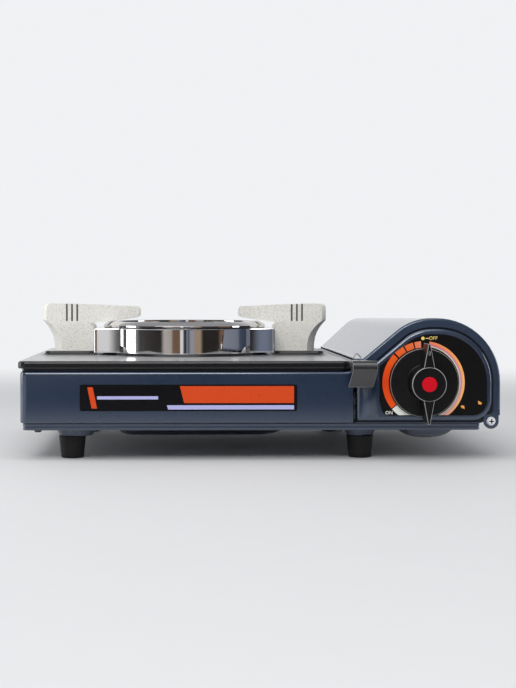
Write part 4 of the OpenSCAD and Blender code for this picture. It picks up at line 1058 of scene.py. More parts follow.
@dataclass
class Housing:
    """The pressed body, its base plate, feet and the panels at the rear."""

    layout: Layout
    sheet: float = 0.6
    corner: float = 5.0
    fold: float = 2.4
    low_fold: float = 1.2
    flange: float = 6.0
    low_wall: float = 9.0
    seam_gap: float = 0.3
    strip_end: float = 4.0
    rim_corner: float = 4.0
    rim_rise: float = 5.3
    hem_proud: float = 0.35
    hem_back: float = 0.05
    foot_edge: float = 1.2
    foot_taper: float = 1.6
    foot_bore: Point = (4.6, 6.0)
    foot_hole: float = 2.1

    def build(self) -> None:
        """Builds every piece of the housing."""
        self.walls()
        self.base()
        self.feet()
        carry_over(["rear_panel", "partition"], 0.25)
        # The front frame sits in the gap behind the panel; its near black steel is painted shade.
        carry_over(["front_frame"], 0.2, STEEL_PAINTED_SHADE)
        # The screws under the base get the near black zinc: painted shade.
        carry_over(["foot_screws", "base_screws"], 0.2, ZINC_PAINTED_SHADE)

    @property
    def seam(self) -> float:
        """Place along X where the high wall meets the low one at the rear."""
        return Span.of("partition").lo.x - self.seam_gap

    @property
    def strip_back(self) -> float:
        """Depth of the place on the right side where the strip meets the low wall."""
        return self.layout.bulkhead_y + self.strip_end

    def wall_profile(self, z0: float, z1: float, top_fold: float = 0.0) -> list[Point]:
        """Points (inset, height) across a wall, from the lower flange to the upper one.

        Args:
            z0: Height of the lower edge.
            z1: Height of the upper edge.
            top_fold: Radius of the upper fold; 0 leaves the wall's top edge plain.

        Returns:
            The points.
        """
        half = self.sheet / 2
        profile = [(self.flange, z0 + half)]
        profile += [(half + i, z0 + half + o) for i, o in quarter(self.low_fold, 3)]
        if not top_fold:
            return profile + [(half, z1)]
        profile += [(half + i, z1 - half - o) for i, o in reversed(quarter(top_fold, 6))]
        return profile + [(self.flange, z1 - half)]

    def wall(
        self, name: str, corners: Sequence[Corner], profile: Sequence[Point], nodes: Sequence[str] = ()
    ) -> None:
        """A folded wall along an outline with the body on its left, from points across it."""
        piece = Draft(name).loft(swept(corners, profile, closed=False), closed=False).build(40)
        dress(thicken(piece, self.sheet), Body.STOVE, NAVY, nodes=nodes)

    def walls(self) -> None:
        """The high wall round the burner, the low one round the bay and the strip ahead of it."""
        shell = Span.of("body_shell")
        z0 = shell.lo.z
        burner = [
            Corner(self.seam, shell.hi.y),
            Corner(shell.lo.x, shell.hi.y, self.corner),
            Corner(shell.lo.x, shell.lo.y, self.corner),
            Corner(self.layout.slot_left, shell.lo.y),
        ]
        self.wall("body_wall_high", burner, self.wall_profile(z0, shell.hi.z, self.fold), ["body_shell"])
        bay = [
            Corner(shell.hi.x, self.strip_back),
            Corner(shell.hi.x, shell.hi.y, self.corner),
            Corner(self.seam, shell.hi.y),
        ]
        self.wall("body_wall_low", bay, self.wall_profile(z0, z0 + self.low_wall))
        strip = [
            Corner(self.layout.slot_right, shell.lo.y),
            Corner(shell.hi.x, shell.lo.y, self.corner),
            Corner(shell.hi.x, self.strip_back),
        ]
        half = self.sheet / 2
        self.wall("body_strip_front", strip, [(self.flange, z0 + half), (half, z0 + half)])

    def base(self) -> None:
        """The base plate with the double hem along its rim."""
        dress(softened("base_plate", 0.25, 25), Body.STOVE, NAVY)
        rim = Span.of("base_plate")
        top = self.layout.wall_z
        floor = Span.of("foot_front_left").hi.z + self.rim_rise
        corners = rectangle(rim.lo.x, rim.lo.y, rim.hi.x, rim.hi.y, self.rim_corner)
        height = top - floor
        out = -self.hem_proud
        back = self.hem_back
        upper = [
            (back, top - 0.1), (out, top - 0.5), (out, floor + 0.56 * height),
            (back, floor + 0.48 * height),
        ]
        lower = [
            (back, floor + 0.42 * height), (out, floor + 0.34 * height), (out, floor + 0.5),
            (back, floor + 0.02),
        ]
        for index, hem in enumerate((upper, lower)):
            dress(Draft(f"base_hem_{index}").loft(swept(corners, hem)).build(30), Body.STOVE, NAVY)

    def feet(self) -> None:
        """The four rubber feet."""
        for node in ("foot_front_left", "foot_front_right", "foot_rear_left", "foot_rear_right"):
            span = Span.of(node)
            top = span.hi.z
            top_r = span.wide / 2
            low_r = top_r - self.foot_taper
            bore, bore_deep = self.foot_bore
            profile = [(bore, bore_deep), (bore, 0.0), (low_r - self.foot_edge, 0.0)]
            profile += [(low_r - i, o) for i, o in quarter(self.foot_edge, 4)]
            profile += [(top_r, top - 0.5), (top_r - 0.4, top), (self.foot_hole, top)]
            piece = Draft(f"{node}_moulded").loft(spun(profile, span.mid, Axis.HEIGHT, 64)).build(40)
            dress(piece, Body.STOVE, RUBBER, nodes=[node])


# ---- Cooktop --------------------------------------------------------------------------------


@dataclass
class Cooktop:
    """The enamelled top plate with the wind ring and the pan supports."""

    layout: Layout
    plate_corner: float = 6.0
    roll: float = 2.0
    lip: float = 5.3
    skirt_in: float = 3.0
    hole: float = 46.0
    seat_border: float = 2.5
    ring_radius: float = 62.0
    ring_sheet: float = 0.4
    mouth: float = 58.0
    bead: float = 1.4
    bead_drop: float = 3.6
    ear_half: float = 37.0
    ear_drop: float = 1.2
    ear_corner: float = 1.2
    ear_crown: float = 0.9
    ear_lean: float = 0.9
    ear_bow: float = 0.07
    ear_steps: int = 12
    inlet_half: float = 8.5
    inlet_height: float = 5.2
    inlet_angle: float = 52.0
    steps: int = 192
    groove_deep: float = 0.9
    pad_border: float = 4.0
    pad_stop: float = 2.6
    pad_corner: float = 6.0
    ring_gap: float = 0.3

    def build(self) -> None:
        """Builds the cooktop's pieces."""
        self.plate()
        self.ring()
        for side in Side:
            self.support(f"support_{side.label}")
        carry_over(["support_screws"], 0.2)

    @property
    def axis(self) -> Vector:
        """The burner's axis."""
        return Span.of("wind_ring").mid

    def plate(self) -> None:
        """The top plate: rolled edge, flat, raised seat, pads and the rim that it stands on."""
        span = Span.of("top_plate")
        z = self.layout.plate_z
        axis = self.axis
        corners = rectangle(span.lo.x, span.lo.y, span.hi.x, span.hi.y, self.plate_corner)
        low = z - self.lip
        profile = [(1.6, low + 0.25), (0.7, low), (0.15, low + 0.35), (0.0, low + 1.0)]
        profile += [(i, z - o) for i, o in reversed(quarter(self.roll, 6))]
        rings = swept(corners, profile, 10)
        seat_r = self.ring_radius + self.seat_border
        inner = []
        for point in rings[-1]:
            away = Vector((point.x - axis.x, point.y - axis.y)).normalized()
            inner.append(Vector((axis.x + away.x * seat_r, axis.y + away.y * seat_r, z)))
        draft = Draft("top_plate_pressed")
        draft.loft(rings + [inner])
        self.seat(draft, seat_r)
        inset = self.skirt_in
        draft.loft(swept(corners, [(inset + 0.8, span.lo.z), (inset, span.lo.z), (inset, z - 1)]))
        for side in Side:
            self.pad(draft, side)
        dress(draft.build(30, outward=False), Body.COOKTOP, ENAMEL, nodes=["top_plate"])

    def seat(self, draft: Draft, radius: float) -> None:
        """The raised seat of the wind ring, down to the burner's hole.

        Args:
            draft: The plate's draft.
            radius: Radius where the seat meets the flat.
        """
        z = self.layout.plate_z
        seat = self.layout.seat_z
        profile = [
            (radius + 1.6, z + 0.02), (radius + 0.4, z + 0.35), (radius - 0.6, seat - 0.25),
            (radius - 1.4, seat), (self.hole + 0.6, seat), (self.hole, seat - 0.5), (self.hole, z - 1.5),
        ]
        draft.loft(spun(profile, self.axis, Axis.HEIGHT))

    def support(self, node: str) -> None:
        """A cast support, with painted shade in the bottom of its three grooves.

        Args:
            node: The support's node.
        """
        piece = softened(node, 0.28, 28)
        span = Span.of(node)
        reach = span.deep / 2 - self.groove_deep
        # Faces at the bottom of the grooves get the dark aluminium: painted shade.
        for polygon in piece.data.polygons:
            off = abs(polygon.center.y / MM - span.mid.y)
            if abs(off - reach) < 0.2 and abs(polygon.normal.y) > 0.9:
                polygon.material_index = 1
        dress(piece, Body.COOKTOP, ALUMINIUM, ALUMINIUM_PAINTED_SHADE)

    def pad(self, draft: Draft, side: Side) -> None:
        """A raised pad under one support.

        Args:
            draft: The plate's draft.
            side: The side that the pad lies on.
        """
        support = Span.of(f"support_{side.label}")
        limit = Span.of("wind_ring").end(side) + side.value * self.ring_gap
        far = support.end(side) - side.value * self.pad_stop
        clip = min if side is Side.LEFT else max
        half = support.deep / 2 + self.pad_border
        y = self.axis.y
        z0 = self.layout.plate_z
        z1 = z0 + self.layout.pad_rise
        x0, x1 = sorted((limit, far))
        corners = rectangle(x0, y - half, x1, y + half, self.pad_corner)
        slope = [
            (-3.6, z0), (-1.6, z0 + 0.35), (0.0, z0 + 1.1), (0.6, z0 + 1.8), (0.9, z1 - 0.6),
            (1.5, z1 - 0.1), (2.4, z1),
        ]
        rings = []
        for inset, height in slope:
            points = [(clip(x, limit), v) for x, v in closed_outline(corners, inset, 8)]
            rings.append(level(points, height))
        draft.loft(rings, caps=(False, True))

    def ring(self) -> None:
        """The chromed wind ring with its ears and air inlets."""
        span = Span.of("wind_ring")
        top = span.hi.z
        mid = top - self.bead_drop
        r = self.ring_radius
        reach = r + self.bead
        mouth = self.mouth
        profile = [
            (r, mid - 1.5), (r + 0.15, mid - 1.15), (r + 0.6, mid - 0.95), (reach - 0.25, mid - 0.65),
            (reach, mid), (reach - 0.15, mid + 0.7), (reach - 0.75, mid + 1.35),
            (mouth + 2.4, top - 0.75), (mouth + 1.1, top - 0.15), (mouth + 0.5, top),
            (mouth + 0.1, top - 0.25), (mouth, top - 0.8), (mouth, top - 1.5),
        ]
        draft = Draft("wind_ring_pressed")
        self.ring_wall(draft, span.lo.z, mid)
        draft.loft(spun(profile, self.axis, Axis.HEIGHT, self.steps))
        for side in Side:
            self.ear(draft, side, span.lo.z, mid - self.ear_drop)
        piece = thicken(draft.build(28, outward=False), self.ring_sheet)
        dress(piece, Body.COOKTOP, CHROME, nodes=["wind_ring"])

    def inlet_lift(self, angle: float) -> float:
        """How far an air inlet lifts the lower edge of the ring's wall.

        Args:
            angle: Angle round the burner's axis, in radians.

        Returns:
            The lift, 0 beside the inlets.
        """
        lift = 0.0
        for middle in (-90, 90):
            for centre in (middle - self.inlet_angle, middle + self.inlet_angle):
                away = (math.degrees(angle) - centre + 180) % 360 - 180
                share = abs(math.radians(away)) * self.ring_radius / self.inlet_half
                if share < 1:
                    lift = self.inlet_height * math.sqrt(1 - share * share)
        return lift

    def ring_wall(self, draft: Draft, z0: float, mid: float) -> None:
        """The upright wall, whose lower edge arches over the air inlets.

        Args:
            draft: The ring's draft.
            z0: Height of the wall's lower edge.
            mid: Height of the middle of the ring's bead.
        """
        r = self.ring_radius
        points = ellipse(self.axis.x, self.axis.y, r, r, self.steps)
        lows = [z0 + self.inlet_lift(a) for a in full_turn(self.steps)]
        rows = [[Vector((x, y, low + up)) for (x, y), low in zip(points, lows)] for up in (0.0, 0.5)]
        draft.loft(rows + [level(points, mid - 2.0), level(points, mid - 1.5)])

    def ear(self, draft: Draft, side: Side, z0: float, z1: float) -> None:
        """A square ear that closes the ring against a support.

        Args:
            draft: The ring's draft.
            side: The side that the ear lies on.
            z0: Height of its lower edge.
            z1: Height of its top.
        """
        axis = self.axis
        outer = Span.of("wind_ring").end(side)
        inner = axis.x + side.value * math.sqrt(self.ring_radius**2 - self.ear_half**2)
        y0 = axis.y - self.ear_half
        y1 = axis.y + self.ear_half
        r = self.ear_corner
        corners = [Corner(inner, y0), Corner(outer, y0, r), Corner(outer, y1, r), Corner(inner, y1)]
        path = self.crowned(open_outline(corners, 0.0, 5))
        crown = self.ear_crown
        rings = [level(path, z) for z in (z0, z1 - crown - 0.3, z1 - crown)]
        for i, o in reversed(quarter(crown, 4)):
            rings.append([
                Vector((x - side.value * i, y + (i if y < axis.y else -i) * self.ear_lean, z1 - o))
                for x, y in path
            ])
        draft.loft(rings, closed=False)
        last = rings[-1]
        half = len(last) // 2
        draft.loft([last[:half], last[-half:][::-1]], closed=False)

    def crowned(self, path: Sequence[Point]) -> list[Point]:
        """An ear's outline whose two long faces stand out a little at their middle.

        Args:
            path: The outline, from one end of the ear on the ring to the other.

        Returns:
            The outline with points added along its first and last side.
        """
        (xa, ya), (xb, _) = path[:2]
        bow = self.ear_bow
        front, rear = [], []
        for along in (k / self.ear_steps for k in range(self.ear_steps)):
            sag = bow * (2 * along - 1) ** 2
            x = xa + (xb - xa) * along
            front.append((x, ya + sag))
            rear.append((x, path[-1][1] - sag))
        middle = [(x, y + (bow if y < self.axis.y else -bow)) for x, y in path[1:-1]]
        return front + middle + rear[::-1]


# ---- Lid --------------------------------------------------------------------------------------


@dataclass(frozen=True)
class Section:
    """Sizes of the lid's arched section at one end of its depth."""

    arch: float
    flank: float
    seam: float
    shoulder: float
    drop: float = 0.0


@dataclass
class Lid:
    """The arched lid of the cartridge bay."""

    layout: Layout
    front: Section = Section(arch=45.2, flank=40.0, seam=5.7, shoulder=38.0)
    rear: Section = Section(arch=41.2, flank=43.0, seam=0.8, shoulder=19.0, drop=3.8)
    sheet: float = 0.6
    flange: float = 6.3
    flange_thin: float = 1.2
    fold: float = 1.6
    seam_fold: float = 2.0
    stations: int = 8
    ear_radius: float = 5.4
    ear_thick: float = 1.2
    recess_radius: float = 1.75

    def build(self) -> None:
        """Builds the skin, the hinge ears, the pale corner piece of painted highlight and the screws."""
        self.skin()
        self.ears()
        self.corner_highlight()
        for end in ("front", "rear"):
            self.screw(f"hinge_screw_{end}")
        carry_over(["lid_bumpers"], 0.2)

    def corners(self, end: Section, widen: float = 0.0) -> list[Corner]:
        """Corners of the lid's section, from its lower right end to the seam.

        Args:
            end: The section's sizes.
            widen: How far the outer side is moved outward.

        Returns:
            The corners in X and Z.
        """
        span = Span.of("lid")
        seam_z = self.layout.seam_z
        top = span.hi.z - end.drop
        slope = math.radians(end.flank)
        flank_x = span.lo.x + end.seam
        crown_x = flank_x + (top - seam_z) / math.tan(slope)
        room = (span.hi.x - end.arch - crown_x) / math.tan(slope / 2)
        return [
            Corner(span.hi.x + widen, self.layout.lid_side_z),
            Corner(span.hi.x + widen, top, end.arch),
            Corner(crown_x, top, min(end.shoulder, 0.98 * room)),
            Corner(flank_x, seam_z, self.seam_fold),
            Corner(span.lo.x, seam_z),
        ]

    def section(self, share: float, inset: float) -> list[Point]:
        """The lid's section at a share of its depth.

        Args:
            share: 0 at the front, 1 at the rear.
            inset: How far the section is moved inward.

        Returns:
            The points in X and Z.
        """
        widen = self.flange_thin * max(0.0, inset - self.fold) / (self.flange - self.fold)
        ends = [open_outline(self.corners(end, widen), inset, 16) for end in (self.front, self.rear)]
        return [(a[0] + (b[0] - a[0]) * share, a[1] + (b[1] - a[1]) * share) for a, b in zip(*ends)]

    def skin(self) -> None:
        """The arched sheet with a folded flange at either end."""
        span = Span.of("lid")
        half = self.sheet / 2
        n = self.stations
        rows = [(0.0, self.flange, span.lo.y + half)]
        rows += [(0.0, half + i, span.lo.y + half + o) for i, o in quarter(self.fold)]
        rows += [(k / n, half, span.lo.y + span.deep * k / n) for k in range(1, n)]
        rows += [(1.0, half + i, span.hi.y - half - o) for i, o in reversed(quarter(self.fold))]
        rows += [(1.0, self.flange, span.hi.y - half)]
        rings = [upright(self.section(share, inset), y) for share, inset, y in rows]
        piece = Draft("lid_skin").loft(rings, closed=False).build(50)
        dress(thicken(piece, self.sheet), Body.LID, NAVY_TOP, nodes=["lid"])

    def screw(self, node: str) -> None:
        """A hinge screw, with painted shade in its cross recess.

        Args:
            node: The screw's node.
        """
        piece = softened(node, 0.25)
        span = Span.of(node)
        face = span.lo.y if node.endswith("front") else span.hi.y
        # Faces inside the cross recess get the near black navy: painted shade.
        for polygon in piece.data.polygons:
            centre = polygon.center / MM
            wide = math.hypot(centre.x - span.mid.x, centre.z - span.mid.z)
            if 0.25 < abs(centre.y - face) < 1.9 and wide < self.recess_radius:
                polygon.material_index = 1
        dress(piece, STATE.body_of(node), SCREW_HEAD, PAINTED_SHADE)

    def corner_highlight(self) -> None:
        """A small bent pale zinc piece at the front end of the seam: painted highlight for the light on the
        lid's front corner.
        """
        span = Span.of("lid")
        z = self.layout.seam_z
        bend = [(-1.2, 0.5), (0.4, 3.1), (1.0, 3.6), (1.6, 3.2), (4.0, 0.6)]
        points = [(span.lo.x + x, z + up) for x, up in bend]
        rows = [upright(points, span.lo.y + y) for y in (0.4, 5.0)]
        piece = Draft("lid_corner_highlight").loft(rows, closed=False).build(20)
        dress(thicken(piece, self.sheet), Body.LID, ZINC)

    def ears(self) -> None:
        """The two ears that the hinge screws go through."""
        span = Span.of("lid")
        hinge = Span.of("hinge_screw_front").mid
        r = self.ear_radius
        x0 = span.hi.x - self.flange + self.flange_thin
        x1 = span.hi.x - 0.4
        top = self.layout.lid_side_z + 1.0
        outline = closed_outline([
            Corner(hinge.x - r, hinge.z - r, r - 0.1),
            Corner(hinge.x + r, hinge.z - r, r - 0.1),
            Corner(hinge.x + r, top - 4.0, 0.3),
            Corner(x1, top - 4.0, 0.3),
            Corner(x1, top, 0.1),
            Corner(x0, top, 0.1),
            Corner(x0, top - 2.5, 2.0),
            Corner(hinge.x - r, top - 4.4, 2.6),
        ], steps=8)
        for name, depths in (
            ("lid_ear_front", (span.lo.y, span.lo.y + self.ear_thick)),
            ("lid_ear_rear", (span.hi.y - self.ear_thick, span.hi.y)),
        ):
            piece = Draft(name).loft([upright(outline, y) for y in depths], caps=(True, True)).build(30)
            dress(round_edges(piece, 0.35), Body.LID, NAVY)


# ---- Front --------------------------------------------------------------------------------------


@dataclass
class Front:
    """The front panel, the printed dial plate and the label."""

    lid: Lid
    gap: float = 0.9
    edge: float = 2.8
    lower_left: float = 1.5
    lower_right: float = 14.0
    margin: float = 4.0
    dial_in: float = 15.8
    dial_corner: float = 6.0
    outline_steps: int = 12
    swelling_steps: int = 16
    print_in: float = 24.5
    print_out: float = 29.0
    print_lift: float = 0.06
    foil_angles: Point = (-66, 82)
    letter_scale: float = 1.42
    letter_weight: float = 0.03
    dot_radius: float = 1.25
    bulge: float = 1.8

    def build(self) -> None:
        """Builds the panel, the dial plate, its print and the label."""
        self.panel()
        self.dial()
        self.dial_print()
        self.label()

    def bay_corners(
        self, inset: float, left: float, bottom: float, left_r: float, right_r: float
    ) -> list[Corner]:
        """Corners of an outline under the lid's front arch.

        Args:
            inset: Distance from the lid's skin.
            left: Left side.
            bottom: Lower side.
            left_r: Radius of the lower left corner.
            right_r: Radius of the lower right corner.

        Returns:
            The corners in X and Z.
        """
        _, arch, shoulder, flank, _ = self.lid.corners(self.lid.front)
        slope = math.radians(self.lid.front.flank)
        edge_x = flank.x + inset * math.sin(slope)
        edge_z = flank.y - inset * math.cos(slope)
        top = arch.y - inset
        side = arch.x - inset + self.lid.flange_thin
        crown = edge_x + (top - edge_z) / math.tan(slope)
        foot = edge_z - (edge_x - left) * math.tan(slope)
        return [
            Corner(left, bottom, left_r),
            Corner(side, bottom, right_r),
            Corner(side, top, arch.r - inset),
            Corner(crown, top, max(1.0, shoulder.r - inset)),
            Corner(left, foot, 3.0),
        ]

    def panel(self) -> None:
        """The navy panel with its rounded edge, whose outermost bands get painted shade."""
        span = Span.of("front_panel")
        corners = self.bay_corners(
            self.lid.flange + self.gap, span.lo.x, span.lo.z, self.lower_left, self.lower_right
        )
        rows = [(0.0, span.hi.y)] + [(i, span.lo.y + o) for i, o in reversed(quarter(self.edge, 7))]
        rings = [upright(closed_outline(corners, inset, self.outline_steps), y) for inset, y in rows]
        # The two outermost bands, on the edge's side toward the lid, get the near black navy: painted shade.
        slots = [1, 1, 0, 0, 0, 0, 0, 0]
        piece = Draft("front_panel_pressed").loft(rings, caps=(False, True), slots=slots).build(40)
        dress(piece, Body.STOVE, NAVY, PAINTED_SHADE, nodes=["front_panel"])
        self.column(span)

    def column(self, span: Span) -> None:
        """The shallow upright swelling left of the dial plate.

        Args:
            span: The panel's span.
        """
        x0 = span.lo.x + self.edge - 0.4
        x1 = span.lo.x + self.dial_in - 0.3
        z0 = span.lo.z + 2.6
        z1 = span.hi.z - 34.0
        shares = [k / self.swelling_steps for k in range(self.swelling_steps + 1)]
        rows = []
        for z, rise in ((z0, 0.0), (z0 + 3.0, 1.0), (z1 - 3.0, 1.0), (z1, 0.0)):
            lifts = [self.bulge * rise * math.sin(math.pi * u) ** 2 for u in shares]
            points = [(x0 + (x1 - x0) * u, span.lo.y - 0.01 - lift) for u, lift in zip(shares, lifts)]
            rows.append(level(points, z))
        piece = Draft("front_panel_swelling").loft(rows, closed=False).build(40, outward=False)
        dress(piece, Body.STOVE, NAVY)

    def dial(self) -> None:
        """The black dial plate with a slanted lower left corner."""
        span = Span.of("dial_plate")
        panel = Span.of("front_panel")
        corners = self.bay_corners(
            self.lid.flange + self.gap + self.margin, panel.lo.x + self.dial_in,
            panel.lo.z + self.margin, self.dial_corner, self.lower_right - self.margin,
        )
        left = corners[0]
        corners[0:1] = [Corner(left.x, left.y + 10.4, 7.0), Corner(left.x + 2.6, left.y, 5.5)]
        outline = closed_outline(corners, 0.0, self.outline_steps)
        rings = [upright(outline, y) for y in (span.hi.y, span.lo.y)]
        piece = Draft("dial_plate_punched").loft(rings, caps=(False, True)).build(30)
        dress(piece, Body.STOVE, DIAL, nodes=["dial_plate"])

    @property
    def knob_axis(self) -> Vector:
        """The knob's axis."""
        return Span.of("knob_cap").mid

    @property
    def print_y(self) -> float:
        """Depth of the prints on the dial plate."""
        return Span.of("dial_plate").lo.y - self.print_lift

    def band(self, name: str, finish: Finish, radii: Point, angles: Point) -> None:
        """A printed band round the knob, cut off at the dial plate's lower edge.

        Args:
            name: The piece's name.
            finish: Its finish.
            radii: Inner and outer radius.
            angles: First and last angle in degrees, anticlockwise from the right.
        """
        axis = self.knob_axis
        floor = Span.of("dial_plate").lo.z + 0.3
        steps = max(6, int(abs(angles[1] - angles[0]) / 3))
        turns = [math.radians(angles[0] + (angles[1] - angles[0]) * k / steps) for k in range(steps + 1)]
        rows = []
        for r in radii:
            points = [(axis.x + r * math.cos(a), max(floor, axis.z + r * math.sin(a))) for a in turns]
            rows.append(upright(points, self.print_y))
        dress(Draft(name).loft(rows, closed=False).build(30, outward=False), Body.STOVE, finish)

    def flat(self, name: str, finish: Finish, y: float, *outlines: Sequence[Point]) -> None:
        """A flat print on the front.

        Args:
            name: The piece's name.
            finish: Its finish.
            y: Its depth.
            outlines: Outlines of its fields in X and Z.
        """
        draft = Draft(name)
        for outline in outlines:
            draft.patch(upright(outline, y))
        dress(draft.build(30, outward=False), Body.STOVE, finish)

    def dial_print(self) -> None:
        """The flame scale round the knob, its marks, and the words ON and OFF."""
        axis = self.knob_axis
        centre = (axis.x, axis.z)
        scale = (self.print_in, self.print_out)
        flame = Foil.FLAME.finish("print_flame", centre)
        for index, angles in enumerate(((94, 103.5), (105.5, 118), (120, 134.5), (137, 219))):
            self.band(f"print_flame_{index}", flame, scale, angles)
        self.band("print_low", PRINT_WHITE, scale, (220.5, 252))
        foils = (
            (Foil.GREEN, (25.2, 26.0)), (Foil.PINK, (26.0, 27.3)), (Foil.AMBER, (27.3, self.print_out)),
        )
        for foil, radii in foils:
            name = f"print_foil_{foil.name.lower()}"
            self.band(name, foil.finish(name, centre), radii, self.foil_angles)
        top = Span.of("dial_plate").hi.z - 2.9
        self.word("OFF", PRINT_YELLOW, (axis.x + 6.6, top), 2.4)
        self.word("ON", PRINT_WHITE, (axis.x - 24.2, axis.z - 21.4), 2.3)
        self.dot(axis.x - 0.6, top)
        self.arrow(Side.RIGHT, axis.x + 38.5, axis.z - 14.2)
        self.arrow(Side.LEFT, axis.x + 29.0, axis.z - 17.6)

    def word(self, text: str, finish: Finish, middle: Point, height: float) -> None:
        """A word printed on the dial.

        Args:
            text: ON or OFF.
            finish: Its finish.
            middle: Its middle in X and Z.
            height: Height of the letters.
        """
        curve = bpy.data.curves.new(f"print_word_{text}", "FONT")
        curve.body = text
        curve.size = height * self.letter_scale * MM
        curve.align_x = "CENTER"
        curve.align_y = "CENTER"
        curve.offset = self.letter_weight * MM
        source = placed(f"print_word_{text}", curve)
        mesh = bpy.data.meshes.new_from_object(source)
        bpy.data.objects.remove(source)
        x, z = middle
        for vertex in mesh.vertices:
            vertex.co = Vector((x * MM + vertex.co.x, self.print_y * MM, z * MM + vertex.co.y))
        dress(placed(f"print_{text}", mesh), Body.STOVE, finish)

    def dot(self, x: float, z: float) -> None:
        """The dot and the dash that point from the scale to the word OFF.

        Args:
            x: Middle of the dot along X.
            z: Height of its middle.
        """
        spot = ellipse(x, z, self.dot_radius, self.dot_radius, 24)
        dash = [(x + 1.9, z - 0.3), (x + 4.0, z - 0.3), (x + 4.0, z + 0.3), (x + 1.9, z + 0.3)]
        self.flat("print_dot", PRINT_YELLOW, self.print_y, spot, dash)

    def arrow(self, side: Side, x: float, z: float) -> None:
        """A small printed arrowhead.

        Args:
            side: The side that it points to.
            x: Place of its blunt end along X.
            z: Height of its blunt end.
        """
        way = side.value
        shape = [(0.0, 1.3), (2.8, -0.3), (2.2, -1.4), (0.2, -1.1)]
        points = [(x + way * u, z + way * v) for u, v in shape]
        self.flat(f"print_arrow_{side.label}", PRINT_AMBER, self.print_y, points)

    def label(self) -> None:
        """The unlettered label: a dark field, an orange field and pale strips."""
        dress(softened("label_plate", 0.1), Body.STOVE, LABEL_BLACK)
        span = Span.of("label_plate")
        fields = (
            ("label_field", LABEL_ORANGE, 0.46, 0.985, 0.30, 0.94, -0.16),
            ("label_strip_low", LABEL_PALE, 0.40, 0.985, 0.06, 0.22, -0.05),
            ("label_bar_a", LABEL_ORANGE, 0.035, 0.06, 0.10, 0.90, -0.16),
            ("label_bar_b", LABEL_PALE, 0.08, 0.36, 0.44, 0.56, 0.0),
        )
        for name, finish, u0, u1, v0, v1, lean in fields:
            x0, x1 = (span.lo.x + span.wide * u for u in (u0, u1))
            z0, z1 = (span.lo.z + span.tall * v for v in (v0, v1))
            shift = lean * span.tall
            right = 0.0 if u1 > 0.9 else shift
            shape = [(x0 - shift, z0), (x1 - right, z0), (x1, z1), (x0, z1)]
            self.flat(name, finish, span.lo.y - self.print_lift, shape)


# ---- Controls -----------------------------------------------------------------------------------


